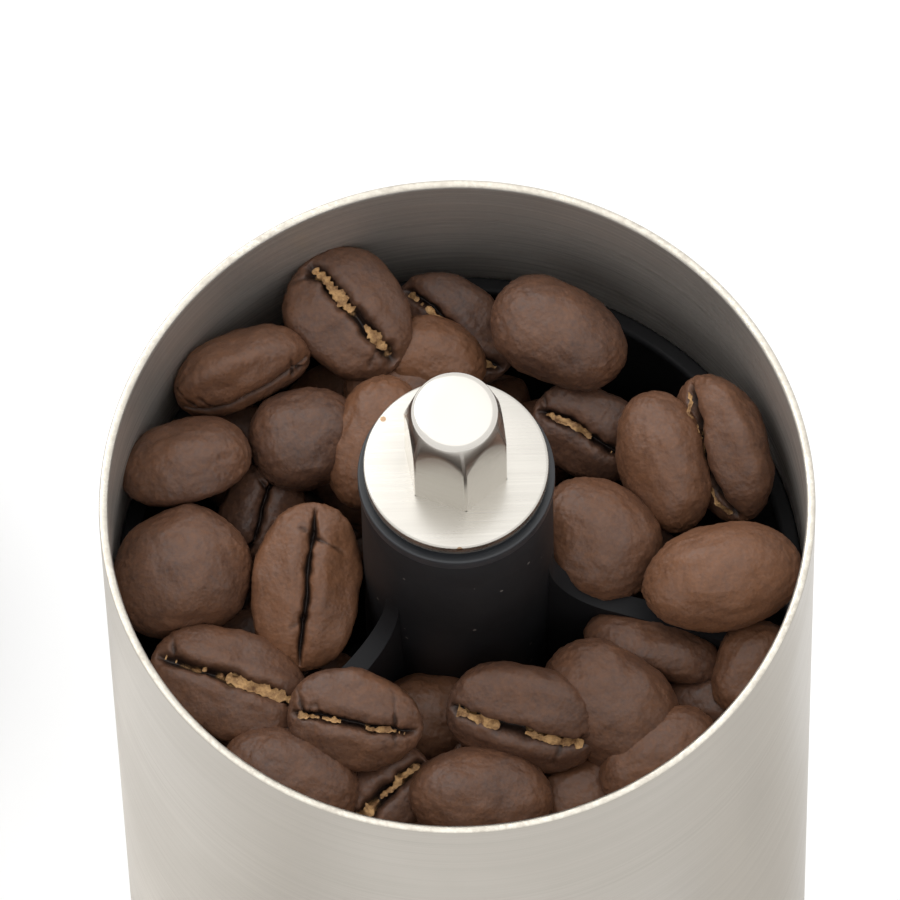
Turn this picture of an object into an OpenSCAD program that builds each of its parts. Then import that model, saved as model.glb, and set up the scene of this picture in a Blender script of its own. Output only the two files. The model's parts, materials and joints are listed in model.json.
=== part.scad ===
// Hand crank coffee grinder. A slim steel canister mill stands on its grounds cup, open at the top.
// Its lid and its crank are taken off and lie on the table beside it.
// Millimetres, +Z up, origin at the centre of the cup's underside.

/* [Canister] */
// Outside diameter of the shell and the cup
body_d = 47; // [44:0.5:60]
// Thickness of the drawn steel walls
wall_t = 0.6; // [0.5:0.1:0.8]
// Height of the shell's rim above the table
rim_h = 131; // [120:1:180]
// Height of the grounds cup
cup_h = 58; // [48:1:68]
// Thickness of the cup's floor
cup_floor_t = 0.8; // [0.6:0.1:1.5]
// Radius of the cup's bottom edge
cup_edge_r = 1.8; // [1:0.1:3]

/* [Hopper] */
// Depth of the liner's top edge under the rim
liner_drop = 13.7; // [8:0.1:20]
// Thickness of the liner
liner_t = 1.2; // [1:0.1:2]
// Number of arms that hold the post
arm_count = 3; // [2:1:4]
// Thickness of an arm
arm_t = 2.6; // [2:0.1:4]
// Direction of the first arm, in degrees
arm_turn = -15; // [-60:1:60]
// Diameter of the post
post_d = 12.6; // [12:0.1:16]
// Length of the post
post_len = 33; // [28:1:40]

/* [Drive] */
// Diameter of the shaft
shaft_d = 6; // [5:0.1:6.1]
// Width across the flats of the hexagonal head
hex_af = 6.15; // [5.5:0.05:8]
// Height of the hexagonal head above the flange
hex_h = 8.35; // [6:0.05:11]
// Turn of the head's first corner, in degrees
hex_turn = 39.6; // [0:0.1:60]
// Diameter of the flange under the head
flange_d = 12.1; // [10:0.1:14]
// Thickness of the flange
flange_t = 1; // [0.8:0.1:2]
// Height of the flange's top above the rim
flange_rise = 6.3; // [4:0.1:9]
// Pitch of the thread that the dial runs on, drawn as ridges without a lead
thread_pitch = 1; // [0.7:0.05:1.25]

/* [Burrs] */
// Wall of the outer burr at its lower edge
burr_wall = 2.9; // [2.2:0.1:3.4]
// Height of the outer burr
outer_burr_h = 16; // [14:0.5:18]
// Diameter of the inner burr at its lower edge
inner_burr_d = 27; // [22:0.5:28]
// Gap between the burrs at their lower edge
burr_gap = 0.35; // [0.25:0.05:0.6]
// Diameter of the adjusting dial
dial_d = 23; // [18:0.5:28]

/* [Neck] */
// Depth that the neck reaches into the cup
neck_depth = 12; // [9:0.5:15]
// Wall of the neck
neck_wall = 3.4; // [2.8:0.1:4]

/* [Lid] */
// Height of the lid's skirt
lid_skirt_h = 3.2; // [3:0.1:6]
// Depth that the lid's plug reaches into the shell
lid_plug_h = 5; // [3:0.5:8]
// Diameter of the lid's centre hole
lid_hole_d = 13.4; // [12.8:0.1:16]
// Place of the laid-down lid along X
lid_x = 64; // [60:1:90]

/* [Crank] */
// Distance from the socket to the knob
crank_throw = 115; // [90:1:140]
// Width of the crank's arm
crank_w = 14; // [12:0.5:18]
// Thickness of the crank's arm
crank_t = 2; // [1.5:0.1:3]
// Diameter of the socket block
socket_d = 13; // [12:0.1:15]
// Depth of the socket
socket_depth = 8; // [6:0.1:10]
// Diameter of the knob
knob_d = 21; // [17:0.5:26]
// Height of the knob
knob_h = 25; // [20:0.5:32]
// Place of the laid-down crank along X
crank_x = -52; // [-80:1:-48]

/* [Hidden] */
$fn = 96;

// Fits: radial clearances, and the gaps between pieces that move past each other
push_fit = 0.05;
run_fit = 0.06;
slip_fit = 0.12;
seam = 0.3;
end_play = 0.1;
eps = 0.01;

// Canister
shell_r = body_d / 2;
bore_r = shell_r - wall_t;
rim_edge = 0.12;
joint_z = cup_h + seam;

// Burr holder and burrs, upwards from the joint between the cup and the shell
neck_r = bore_r - slip_fit;
neck_bore_r = neck_r - neck_wall;
neck_z = joint_z - neck_depth;
collar_h = 8;
collar_z = joint_z + collar_h;
ledge_z = joint_z + 4;
ledge_t = 2;
ledge_w = 1.4;
burr_top_z = ledge_z + outer_burr_h;
lug_count = 3;
lug_angle = 24;
lug_rise = 0.7;
lug_h = 2.4;
lug_z = collar_z + 3;
seal_r = 0.95;
seal_z = joint_z - neck_depth / 2;
seal_ring_r = bore_r - run_fit - seal_r;

inner_r = inner_burr_d / 2;
inner_drop = 0.5;
inner_z = ledge_z - inner_drop;
nose_h = 2;
inner_top_z = burr_top_z + nose_h;
inner_top_r = 7.4;
fine_h = 6;
fine_top_z = ledge_z + fine_h;
inner_slope = (inner_r - inner_top_r) / (inner_top_z - inner_z);
fine_gap = 0.7;
outer_low_r = inner_r_at(ledge_z) + burr_gap;
waist_r = inner_r_at(fine_top_z) + fine_gap;
fine_depth = 0.45;
burr_r = outer_low_r + fine_depth + burr_wall;
outer_top_r = burr_r - 3.6;
holder_bore_r = burr_r + push_fit;
coarse_teeth = 8;
fine_teeth = 40;
coarse_depth = 1.9;
coarse_twist = 55;
fine_twist = 14;

// Hopper
frame_r = bore_r - push_fit;
liner_r = frame_r - liner_t;
liner_top_z = rim_h - liner_drop;
throat_r = burr_r - 2.8;
throat_z = burr_top_z + 2;
funnel_h = 14.7;
funnel_t = 1.6;
land_r = burr_r + 1;
arm_drop = 5;
arm_fillet_r = 4.4;
arm_root = 1.2;
arm_depth = 14;
arm_tip_h = 11;
arm_shoulder = 2;
skirt_wall = 1.82;
skirt_r = frame_r - skirt_wall;
holder_r = skirt_r - slip_fit - push_fit;

// Post, bushes and shaft, downwards from the flange's top
post_r = post_d / 2;
shaft_r = shaft_d / 2;
flange_r = flange_d / 2;
flange_top_z = rim_h + flange_rise;
flange_z = flange_top_z - flange_t;
washer_t = 0.4;
washer_z = flange_z - washer_t;
bush_top_z = washer_z - end_play;
bush_collar_t = 1;
bush_collar_r = post_r + 0.15;
bush_wall = 1.5;
bush_len = 9;
bush_bore_r = shaft_r + run_fit;
bush_r = bush_bore_r + bush_wall;
pocket_r = bush_r + push_fit;
post_bore_r = shaft_r + 0.4;
post_top_z = bush_top_z - bush_collar_t;
post_z = post_top_z - post_len;
low_collar_r = post_r - 0.6;
low_bush_z = post_z - bush_collar_t;
clip_t = 0.6;
clip_r = shaft_r + 2;
clip_slot = shaft_d - 1.6;
clip_z = low_bush_z - end_play - clip_t;
groove_r = shaft_r - 0.6;
groove_fit = 0.02;
hex_r = hex_af / 2 / cos(30);
hex_top_r = hex_af / 2 * 0.925;
hex_neck_r = hex_af / 2 * 0.97;
hex_neck_h = 1.35;
hex_round = 0.45;

// Square end of the shaft, its core, the dial and its nut
square_af = shaft_d - 1.4;
square_top_z = inner_top_z + 3.7;
core_fit = 0.1;
core_r = 4.7;
core_flange_t = 2;
core_flange_r = 9;
core_z = inner_z - core_flange_t;
seat_t = 0.5;
click_t = 0.6;
click_z = core_z - click_t;
click_r = 7.5;
click_holes = 12;
dial_r = dial_d / 2;
dial_rim_h = 4;
dial_hub_r = 7.4;
dial_top_z = click_z - run_fit;
dial_rim_z = dial_top_z - dial_rim_h;
dial_z = dial_rim_z - 4;
dial_scallops = 24;
scallop_r = 1;
nut_af = 9;
thread_r = square_af / 2;
nut_bore_r = thread_r + run_fit;
thread_depth = 0.3;
thread_tail = 3;
shaft_z = dial_z - thread_tail;
thread_ridges = floor((core_z - shaft_z) / thread_pitch);

// Spring
wire_d = 0.8;
spring_r = shaft_r + 1.1;
spring_turns = 7;
spring_steps = 22;
spring_sides = 8;
spring_z = inner_top_z + seat_t;
spring_len = clip_z - spring_z;

// Lid
lid_z = lid_plug_h;
plug_r = bore_r - slip_fit;
plug_t = 1.5;
lid_hole_r = lid_hole_d / 2;
lid_flat_r = lid_hole_r + 2.4;
lid_shoulder_r = 1.4;
lid_top_h = flange_rise;
insert_t = 1.3;
insert_drop = 1.6;
insert_hole_r = lid_hole_r + 0.6;

// Crank, in its own frame: the socket's mouth at the origin, the arm along +X
socket_r = socket_d / 2;
socket_fit = 0.1;
socket_roof = 1.2;
socket_h = socket_depth + socket_roof;
tenon_r = 3;
peen_r = 4.2;
peen_h = 0.9;
pin_r = 2.5;
pin_tail_r = 2;
pin_tail_head_r = 3.4;
pin_tail_head_h = 0.9;
pin_head_r = 4;
pin_head_h = 1.2;
knob_washer_t = 0.6;
knob_washer_r = 6;
knob_r = knob_d / 2;
knob_foot_r = 6.4;
knob_foot_h = 2.4;
knob_foot_edge = 0.5;
knob_waist_r = 5.6;
knob_waist_h = 4.6;
cap_r = 5.2;
cap_t = 1.4;
cap_gap = 1;
arm_top_h = socket_h + crank_t;
knob_z = arm_top_h + knob_washer_t + run_fit;
pin_top_z = knob_z + knob_h - cap_t - cap_gap;
crank_span = crank_throw + pin_tail_head_r - socket_r;
crank_tilt = atan((socket_h - pin_tail_head_h) / crank_span);

// Radius of the inner burr's tooth tips at a height
function inner_r_at(z) = inner_r - (z - inner_z) * inner_slope;

// Points along an arc from one angle to another
function arc(cx, cy, r, from, to, steps = 8) =
    [for (i = [0:steps])
        let (a = from + (to - from) * i / steps) [cx + r * cos(a), cy + r * sin(a)]];

// Outline of a ring of teeth: a tip and a root for each tooth
function tooth_outline(tip_r, root_r, teeth) =
    [for (i = [0:teeth - 1], k = [0:3])
        let (a = (i + k / 4) * 360 / teeth, r = k < 2 ? tip_r : root_r) [r * cos(a), r * sin(a)]];

// Corners of the wire's section at one step along the spring
function wire_ring(i) =
    let (t = i / (spring_turns * spring_steps),
         turn = 360 * i / spring_steps,
         z = spring_z + wire_d / 2 + t * (spring_len - wire_d))
    [for (k = [0:spring_sides - 1])
        let (s = 360 * k / spring_sides, r = spring_r + wire_d / 2 * cos(s))
        [r * cos(turn), r * sin(turn), z + wire_d / 2 * sin(s)]];

// A solid of revolution between two radii and two heights
module ring(r_in, r_out, z_low, z_high) {
    translate([0, 0, z_low]) difference() {
        cylinder(r = r_out, h = z_high - z_low);
        translate([0, 0, -1]) cylinder(r = r_in, h = z_high - z_low + 2);
    }
}

// A solid disc between two heights
module disc(r, z_low, z_high) {
    translate([0, 0, z_low]) cylinder(r = r, h = z_high - z_low);
}

// A solid of revolution about Z from an outline of [radius, height] points
module turned(outline) {
    rotate_extrude() polygon(outline);
}

module grounds_cup() {
    in_r = cup_edge_r - wall_t;
    color([0.80, 0.78, 0.75]) turned(concat(
        [[0, 0]],
        arc(shell_r - cup_edge_r, cup_edge_r, cup_edge_r, -90, 0),
        [[shell_r, cup_h - rim_edge], [shell_r - rim_edge, cup_h],
         [bore_r + rim_edge, cup_h], [bore_r, cup_h - rim_edge]],
        arc(bore_r - in_r, cup_floor_t + in_r, in_r, 0, -90),
        [[0, cup_floor_t]]));
}

module upper_shell() {
    color([0.80, 0.78, 0.75]) turned([
        [bore_r + rim_edge, joint_z], [shell_r - rim_edge, joint_z], [shell_r, joint_z + rim_edge],
        [shell_r, rim_h - rim_edge], [shell_r - rim_edge, rim_h], [bore_r + rim_edge, rim_h],
        [bore_r, rim_h - rim_edge], [bore_r, joint_z + rim_edge]]);
}

// Outline of one arm, as [radius, height] points: it falls from the post in a hollow curve
function arm_outline() =
    let (top_z = rim_h - arm_drop, root_r = post_r - arm_root, tip_r = liner_r + liner_t / 2)
    concat(
        [[tip_r, liner_top_z - arm_tip_h], [tip_r, liner_top_z],
         [liner_r - arm_shoulder, liner_top_z + arm_shoulder]],
        arc(post_r + arm_fillet_r, top_z, arm_fillet_r, 270, 180),
        [[root_r, top_z], [root_r, liner_top_z - arm_depth]]);

module hopper_arm() {
    rotate([90, 0, 0]) linear_extrude(height = arm_t, center = true) polygon(arm_outline());
}

module hopper_liner() {
    cone_run = skirt_r - throat_r;
    cone_top_z = throat_z + funnel_h;
    slope = funnel_h / (liner_r - throat_r);
    under = funnel_t * sqrt(1 + slope * slope);
    turned([
        [skirt_r, collar_z], [frame_r, collar_z], [frame_r, liner_top_z], [liner_r, liner_top_z],
        [liner_r, cone_top_z], [throat_r, throat_z], [throat_r, burr_top_z], [land_r, burr_top_z],
        [land_r, throat_z + (land_r - throat_r) * slope - under],
        [skirt_r, throat_z + cone_run * slope - under]]);
}

module hopper_frame() {
    color([0.13, 0.13, 0.14]) difference() {
        union() {
            hopper_liner();
            disc(post_r, post_z, post_top_z);
            for (i = [0:arm_count - 1]) rotate([0, 0, arm_turn + i * 360 / arm_count]) hopper_arm();
        }
        disc(post_bore_r, post_z - 1, post_top_z + 1);
        disc(pocket_r, post_top_z - bush_len, post_top_z + 1);
        disc(pocket_r, post_z - 1, post_z + bush_len);
        bayonet(lug_rise + push_fit, lug_h / 2 + push_fit, 2);
    }
}

// Bayonet lugs of the burr holder, or their pockets when made larger
module bayonet(rise, half_h, spare_angle) {
    for (i = [0:lug_count - 1]) rotate([0, 0, i * 360 / lug_count - spare_angle / 2])
        rotate_extrude(angle = lug_angle + spare_angle)
            translate([holder_r - rise, lug_z - half_h]) square([2 * rise, 2 * half_h]);
}

module bush(collar_r, flip) {
    mirror([0, 0, flip]) difference() {
        union() {
            disc(collar_r, 0, bush_collar_t);
            disc(bush_r, -bush_len, eps);
        }
        disc(bush_bore_r, -bush_len - 1, bush_collar_t + 1);
    }
}

module upper_bush() {
    color([0.10, 0.10, 0.11]) translate([0, 0, post_top_z]) bush(bush_collar_r, 0);
}

module lower_bush() {
    color([0.10, 0.10, 0.11]) translate([0, 0, post_z]) bush(low_collar_r, 1);
}

module burr_holder() {
    groove_h = seal_r + run_fit;
    color([0.16, 0.16, 0.17]) {
        turned([
            [neck_bore_r, neck_z], [neck_r, neck_z], [neck_r, seal_z - groove_h],
            [seal_ring_r - seal_r, seal_z - groove_h], [seal_ring_r - seal_r, seal_z + groove_h],
            [neck_r, seal_z + groove_h], [neck_r, collar_z], [holder_r, collar_z],
            [holder_r, burr_top_z], [holder_bore_r, burr_top_z], [holder_bore_r, ledge_z],
            [holder_bore_r - ledge_w, ledge_z], [holder_bore_r - ledge_w, ledge_z - ledge_t],
            [neck_bore_r, ledge_z - ledge_t - 2]]);
        bayonet(lug_rise, lug_h / 2, 0);
    }
}

module cup_seal() {
    color([0.20, 0.20, 0.21])
        rotate_extrude() translate([seal_ring_r, seal_z]) circle(r = seal_r, $fn = 32);
}

// Helical teeth cut to a cone between two heights
module toothed_cone(low_r, top_r, depth, teeth, twist, z_low, z_high, slices) {
    translate([0, 0, z_low])
        linear_extrude(height = z_high - z_low, twist = twist, scale = top_r / low_r, slices = slices)
            polygon(tooth_outline(low_r, low_r - depth, teeth));
}

module outer_burr() {
    color([0.93, 0.92, 0.89]) difference() {
        disc(burr_r, ledge_z, burr_top_z);
        toothed_cone(outer_low_r + fine_depth, waist_r + fine_depth, fine_depth, fine_teeth,
                     -fine_twist, ledge_z - eps, fine_top_z, 4);
        toothed_cone(waist_r + coarse_depth, outer_top_r, coarse_depth, coarse_teeth,
                     -coarse_twist, fine_top_z - eps, burr_top_z + eps, 10);
    }
}

module inner_burr() {
    color([0.93, 0.92, 0.89]) difference() {
        union() {
            toothed_cone(inner_r, inner_r_at(fine_top_z), fine_depth, fine_teeth, fine_twist,
                         inner_z, fine_top_z, 4);
            toothed_cone(inner_r_at(fine_top_z - eps), inner_top_r, coarse_depth, coarse_teeth,
                         coarse_twist, fine_top_z - eps, inner_top_z, 10);
        }
        disc(core_r + push_fit, inner_z - 1, inner_top_z + 1);
    }
}

// A square bar or hole through the core
module square_bar(af, z_low, z_high) {
    translate([-af / 2, -af / 2, z_low]) cube([af, af, z_high - z_low]);
}

module burr_core() {
    color([0.16, 0.16, 0.17]) difference() {
        union() {
            disc(core_flange_r, core_z, inner_z);
            disc(core_r, inner_z - eps, inner_top_z);
        }
        square_bar(square_af + 2 * core_fit, core_z - 1, inner_top_z + 1);
    }
}

module spring_seat() {
    color([0.75, 0.75, 0.76])
        ring(square_af / sqrt(2) + core_fit, core_r, inner_top_z, inner_top_z + seat_t);
}

module click_washer() {
    dimple_r = 0.6;
    color([0.75, 0.75, 0.76]) difference() {
        ring(square_af / sqrt(2) + core_fit, click_r, click_z, core_z);
        for (i = [0:click_holes - 1]) rotate([0, 0, i * 360 / click_holes])
            translate([click_r - 1.6, 0, click_z - 1]) cylinder(r = dimple_r, h = click_t + 2, $fn = 24);
    }
}

module adjusting_dial() {
    color([0.16, 0.16, 0.17]) difference() {
        union() {
            disc(dial_r, dial_rim_z, dial_top_z);
            disc(dial_hub_r, dial_z, dial_rim_z + eps);
        }
        disc(nut_af / 2 / cos(30) + push_fit, dial_z - 1, dial_top_z + 1, $fn = 6);
        for (i = [0:dial_scallops - 1]) rotate([0, 0, i * 360 / dial_scallops])
            translate([dial_r + scallop_r / 2, 0, dial_rim_z - 1])
                cylinder(r = scallop_r, h = dial_rim_h + 2, $fn = 24);
    }
}

module dial_nut() {
    color([0.80, 0.66, 0.36]) difference() {
        disc(nut_af / 2 / cos(30), dial_z, dial_top_z, $fn = 6);
        disc(nut_bore_r, dial_z - 1, dial_top_z + 1);
    }
}

// The head's outline of revolution: its corners are turned off towards the top
module head_blank() {
    top_z = flange_top_z + hex_h;
    out_r = hex_r + 1;
    turned(concat(
        [[0, flange_top_z], [out_r, flange_top_z],
         [out_r, top_z - hex_neck_h - out_r + hex_neck_r], [hex_neck_r, top_z - hex_neck_h]],
        arc(hex_top_r - hex_round, top_z - hex_round, hex_round, 5, 90, 4),
        [[0, top_z]]));
}

// Outline of the threaded end: a crest and a root for each turn
function thread_outline() = concat(
    [[0, shaft_z]],
    [for (i = [0:thread_ridges - 1], k = [0, 0.5])
        [thread_r - (k == 0 ? thread_depth : 0), shaft_z + (i + k) * thread_pitch]],
    [[thread_r - thread_depth, shaft_z + thread_ridges * thread_pitch],
     [thread_r - thread_depth, core_z + eps], [0, core_z + eps]]);

module drive_shaft() {
    color([0.78, 0.76, 0.74]) difference() {
        union() {
            intersection() {
                rotate([0, 0, hex_turn]) disc(hex_r, flange_top_z, flange_top_z + hex_h, $fn = 6);
                head_blank();
            }
            disc(shaft_r, square_top_z, flange_top_z + eps);
            square_bar(square_af, core_z, square_top_z + eps);
            turned(thread_outline());
        }
        ring(groove_r, shaft_r + 1, clip_z, clip_z + clip_t);
    }
}

module drive_flange() {
    edge = 0.15;
    hole_r = shaft_r + groove_fit;
    color([0.88, 0.86, 0.82]) turned([
        [hole_r, flange_z], [flange_r - edge, flange_z], [flange_r, flange_z + edge],
        [flange_r, flange_top_z - edge], [flange_r - edge, flange_top_z], [hole_r, flange_top_z]]);
}

module thrust_washer() {
    color([0.35, 0.35, 0.36]) ring(shaft_r + groove_fit, flange_r - 0.5, washer_z, flange_z);
}

module shaft_clip() {
    color([0.60, 0.60, 0.61]) difference() {
        ring(groove_r + groove_fit, clip_r, clip_z, clip_z + clip_t);
        translate([-clip_r - 1, -clip_slot / 2, clip_z - 1]) cube([clip_r + 1, clip_slot, clip_t + 2]);
    }
}

module burr_spring() {
    rings = spring_turns * spring_steps;
    n = spring_sides;
    points = [for (i = [0:rings]) each wire_ring(i)];
    sides = [for (i = [0:rings - 1], k = [0:n - 1])
        [i * n + k, (i + 1) * n + k, (i + 1) * n + (k + 1) % n, i * n + (k + 1) % n]];
    first = [for (k = [0:n - 1]) k];
    last = [for (k = [n - 1:-1:0]) rings * n + k];
    color([0.75, 0.75, 0.76]) polyhedron(points, concat(sides, [first, last]));
}

// The lid's pieces in their own frame: the face that rests on the rim at height 0
function lid_outline(inset, hole_r) =
    let (r = shell_r - inset, top = lid_skirt_h - inset, bend = lid_shoulder_r - inset)
    concat(arc(r - bend, top, bend, 0, 78, 6),
           [[lid_flat_r, lid_top_h - inset], [hole_r, lid_top_h - inset]]);

function backwards(list) = [for (i = [len(list) - 1:-1:0]) list[i]];

module lid_plate() {
    color([0.80, 0.78, 0.75]) translate([lid_x, 0, lid_z]) turned(concat(
        [[bore_r, 0], [shell_r - rim_edge, 0], [shell_r, rim_edge]],
        lid_outline(0, lid_hole_r), backwards(lid_outline(wall_t, lid_hole_r))));
}

module lid_insert() {
    outline = lid_outline(wall_t + push_fit, insert_hole_r);
    plug_bore_r = plug_r - plug_t;
    web = [for (p = outline) if (p[0] <= lid_flat_r) [p[0], p[1] - insert_t]];
    color([0.13, 0.13, 0.14]) translate([lid_x, 0, lid_z]) turned(concat(
        [[plug_bore_r, -lid_plug_h], [plug_r, -lid_plug_h], [plug_r, 0], [bore_r - push_fit, 0]],
        outline, backwards(web), [[plug_bore_r, lid_skirt_h - insert_drop]]));
}

// Lays a piece of the crank on the table, tipped until the pin's tail touches it, along Y
module laid_down() {
    translate([crank_x, -crank_throw / 2, 0]) rotate([0, 0, 90])
        translate([socket_r, 0, 0]) rotate([0, crank_tilt, 0]) translate([-socket_r, 0, 0]) children();
}

module crank_arm() {
    color([0.80, 0.78, 0.75]) laid_down() difference() {
        union() {
            disc(crank_w / 2, socket_h, arm_top_h);
            translate([crank_throw, 0, 0]) disc(crank_w / 2, socket_h, arm_top_h);
            translate([0, -crank_w / 2, socket_h]) cube([crank_throw, crank_w, crank_t]);
        }
        disc(tenon_r + groove_fit, socket_h - 1, arm_top_h + 1);
        translate([crank_throw, 0, 0]) disc(pin_tail_r + groove_fit, socket_h - 1, arm_top_h + 1);
    }
}

module crank_socket() {
    color([0.72, 0.70, 0.68]) laid_down() difference() {
        union() {
            disc(socket_r, 0, socket_h);
            disc(tenon_r, socket_h - eps, arm_top_h);
            disc(peen_r, arm_top_h, arm_top_h + peen_h);
        }
        disc(hex_r + socket_fit, -1, socket_depth, $fn = 6);
    }
}

module knob_pin() {
    color([0.72, 0.70, 0.68]) laid_down() translate([crank_throw, 0, 0]) {
        disc(pin_tail_head_r, socket_h - pin_tail_head_h, socket_h);
        disc(pin_tail_r, socket_h - eps, arm_top_h + eps);
        disc(pin_r, arm_top_h, pin_top_z);
        disc(pin_head_r, pin_top_z - pin_head_h, pin_top_z);
    }
}

module knob_washer() {
    color([0.75, 0.75, 0.76]) laid_down() translate([crank_throw, 0, 0])
        ring(pin_r + groove_fit, knob_washer_r, arm_top_h, arm_top_h + knob_washer_t);
}

// The knob's outline: a foot, a hollow waist and a round head
function knob_outline() =
    let (head_z = knob_h - knob_r * sin(46))
    concat([[knob_foot_r - knob_foot_edge, 0], [knob_foot_r, knob_foot_edge],
            [knob_foot_r, knob_foot_h], [knob_waist_r, knob_waist_h]],
           arc(0, head_z, knob_r, -52, 46, 14),
           [[cap_r + 0.8, knob_h]]);

module crank_knob() {
    head_pocket_z = pin_top_z - pin_head_h - knob_z - end_play;
    color([0.13, 0.13, 0.14]) laid_down() translate([crank_throw, 0, knob_z]) difference() {
        turned(concat([[0, 0]], knob_outline(), [[0, knob_h]]));
        disc(pin_r + run_fit, -1, knob_h);
        disc(pin_head_r + slip_fit, head_pocket_z, knob_h);
        disc(cap_r + push_fit, knob_h - cap_t, knob_h + 1);
    }
}

module knob_cap() {
    dome = 0.5;
    color([0.72, 0.70, 0.68]) laid_down() translate([crank_throw, 0, knob_z + knob_h - cap_t])
        turned([[0, 0], [cap_r, 0], [cap_r, cap_t - dome], [cap_r - dome, cap_t], [0, cap_t]]);
}

grounds_cup();
upper_shell();
hopper_frame();
upper_bush();
lower_bush();
burr_holder();
cup_seal();
outer_burr();
drive_shaft();
drive_flange();
thrust_washer();
shaft_clip();
burr_spring();
inner_burr();
burr_core();
spring_seat();
click_washer();
adjusting_dial();
dial_nut();
lid_plate();
lid_insert();
crank_arm();
crank_socket();
knob_pin();
knob_washer();
crank_knob();
knob_cap();
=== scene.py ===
"""Visual model of a hand crank coffee grinder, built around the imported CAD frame.

The canister mill stands open on its grounds cup with beans in its hopper. The lid and the crank lie
on the table beside it. Every size comes from the frame or from a named field, in metres.
"""

import json
import logging
import math
import random
from dataclasses import dataclass, field
from enum import Enum
from typing import Callable, Iterable, Optional, Sequence

import bmesh
import bpy
from mathutils import Matrix, Vector, noise


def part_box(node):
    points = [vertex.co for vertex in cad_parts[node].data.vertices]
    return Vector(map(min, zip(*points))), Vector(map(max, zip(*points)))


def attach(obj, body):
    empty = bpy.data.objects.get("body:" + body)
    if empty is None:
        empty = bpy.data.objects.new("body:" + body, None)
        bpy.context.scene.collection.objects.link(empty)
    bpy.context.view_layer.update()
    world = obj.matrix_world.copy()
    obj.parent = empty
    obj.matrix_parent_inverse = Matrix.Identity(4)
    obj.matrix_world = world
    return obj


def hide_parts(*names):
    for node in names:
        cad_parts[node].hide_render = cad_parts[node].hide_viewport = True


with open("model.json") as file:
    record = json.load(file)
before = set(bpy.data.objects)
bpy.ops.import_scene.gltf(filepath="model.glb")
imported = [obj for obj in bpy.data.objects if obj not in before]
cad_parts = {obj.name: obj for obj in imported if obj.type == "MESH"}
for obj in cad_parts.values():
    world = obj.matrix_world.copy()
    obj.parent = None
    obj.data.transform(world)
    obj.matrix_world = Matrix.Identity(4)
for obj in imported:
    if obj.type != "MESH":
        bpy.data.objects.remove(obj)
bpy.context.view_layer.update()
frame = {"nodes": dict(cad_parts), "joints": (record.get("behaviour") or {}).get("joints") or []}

LOG = logging.getLogger("grinder")
MM = 0.001
TURN = 2.0 * math.pi

Mesh = bmesh.types.BMesh
Socket = bpy.types.NodeSocket
Node = bpy.types.Node
NodeTree = bpy.types.NodeTree
Material = bpy.types.Material
Object = bpy.types.Object
Corner = tuple[float, float, float]
Point = tuple[float, float]
Colour = tuple[float, float, float]


# ---------------------------------------------------------------------------------------------
# Mesh tools
# ---------------------------------------------------------------------------------------------


def soften(corners: Sequence[Corner], steps: int = 4, closed: bool = True) -> list[Point]:
    """Rounds the corners of an outline.

    Args:
        corners: (x, y, rounding) for each corner, in metres.
        steps: pieces that each rounded corner is drawn in.
        closed: whether the last corner joins the first.

    Returns:
        The outline's points, with each rounded corner as a short curve.
    """
    count = len(corners)
    points: list[Point] = []
    for i, (x, y, r) in enumerate(corners):
        at = Vector((x, y))
        ends = not closed and i in (0, count - 1)
        if r <= 0.0 or ends:
            points.append((x, y))
            continue
        before = Vector(corners[i - 1][:2]) - at
        after = Vector(corners[(i + 1) % count][:2]) - at
        reach = min(r, before.length * 0.48, after.length * 0.48)
        start = at + before.normalized() * reach
        end = at + after.normalized() * reach
        for k in range(steps + 1):
            t = k / steps
            p = start * (1 - t) ** 2 + at * (2 * t * (1 - t)) + end * t ** 2
            points.append((p.x, p.y))
    return points


def signed_volume(bm: Mesh) -> float:
    """The volume that the faces enclose, negative when they point inwards."""
    total = 0.0
    for f in bm.faces:
        first = f.verts[0].co
        for a, b in zip(f.verts[1:-1], f.verts[2:]):
            total += first.dot(a.co.cross(b.co))
    return total / 6.0


def face_out(bm: Mesh) -> None:
    """Turns every face of a closed mesh outwards."""
    if signed_volume(bm) < 0.0:
        bmesh.ops.reverse_faces(bm, faces=bm.faces)


def turned(outline: Sequence[Point], segments: int, centre: Point = (0.0, 0.0)) -> Mesh:
    """Turns an outline of (radius, height) points about a vertical axis into a closed mesh.

    Args:
        outline: points in order. A point at radius 0 becomes a pole; otherwise the outline closes.
        segments: number of steps around the axis.
        centre: the axis's place in X and Y.

    Returns:
        A new closed mesh with its faces outwards.
    """
    bm = bmesh.new()
    rings: list[list[bmesh.types.BMVert]] = []
    for r, z in outline:
        if r < 1e-9:
            rings.append([bm.verts.new((centre[0], centre[1], z))])
            continue
        rings.append([
            bm.verts.new((centre[0] + r * math.cos(TURN * k / segments),
                          centre[1] + r * math.sin(TURN * k / segments), z))
            for k in range(segments)])
    open_ended = len(rings[0]) == 1 or len(rings[-1]) == 1
    pairs = list(zip(rings[:-1], rings[1:]))
    if not open_ended:
        pairs.append((rings[-1], rings[0]))
    for low, high in pairs:
        if len(low) == 1 and len(high) == 1:
            continue
        for k in range(segments):
            n = (k + 1) % segments
            if len(low) == 1:
                bm.faces.new((low[0], high[k], high[n]))
            elif len(high) == 1:
                bm.faces.new((low[k], low[n], high[0]))
            else:
                bm.faces.new((low[k], low[n], high[n], high[k]))
    face_out(bm)
    return bm


def slab(outline: Sequence[Point], low: float, high: float) -> Mesh:
    """Raises a flat outline of (x, y) points into a closed prism between two heights."""
    bm = bmesh.new()
    bottom = [bm.verts.new((x, y, low)) for x, y in outline]
    top = [bm.verts.new((x, y, high)) for x, y in outline]
    bm.faces.new(bottom[::-1])
    bm.faces.new(top)
    for k in range(len(outline)):
        n = (k + 1) % len(outline)
        bm.faces.new((bottom[k], bottom[n], top[n], top[k]))
    face_out(bm)
    return bm


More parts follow.
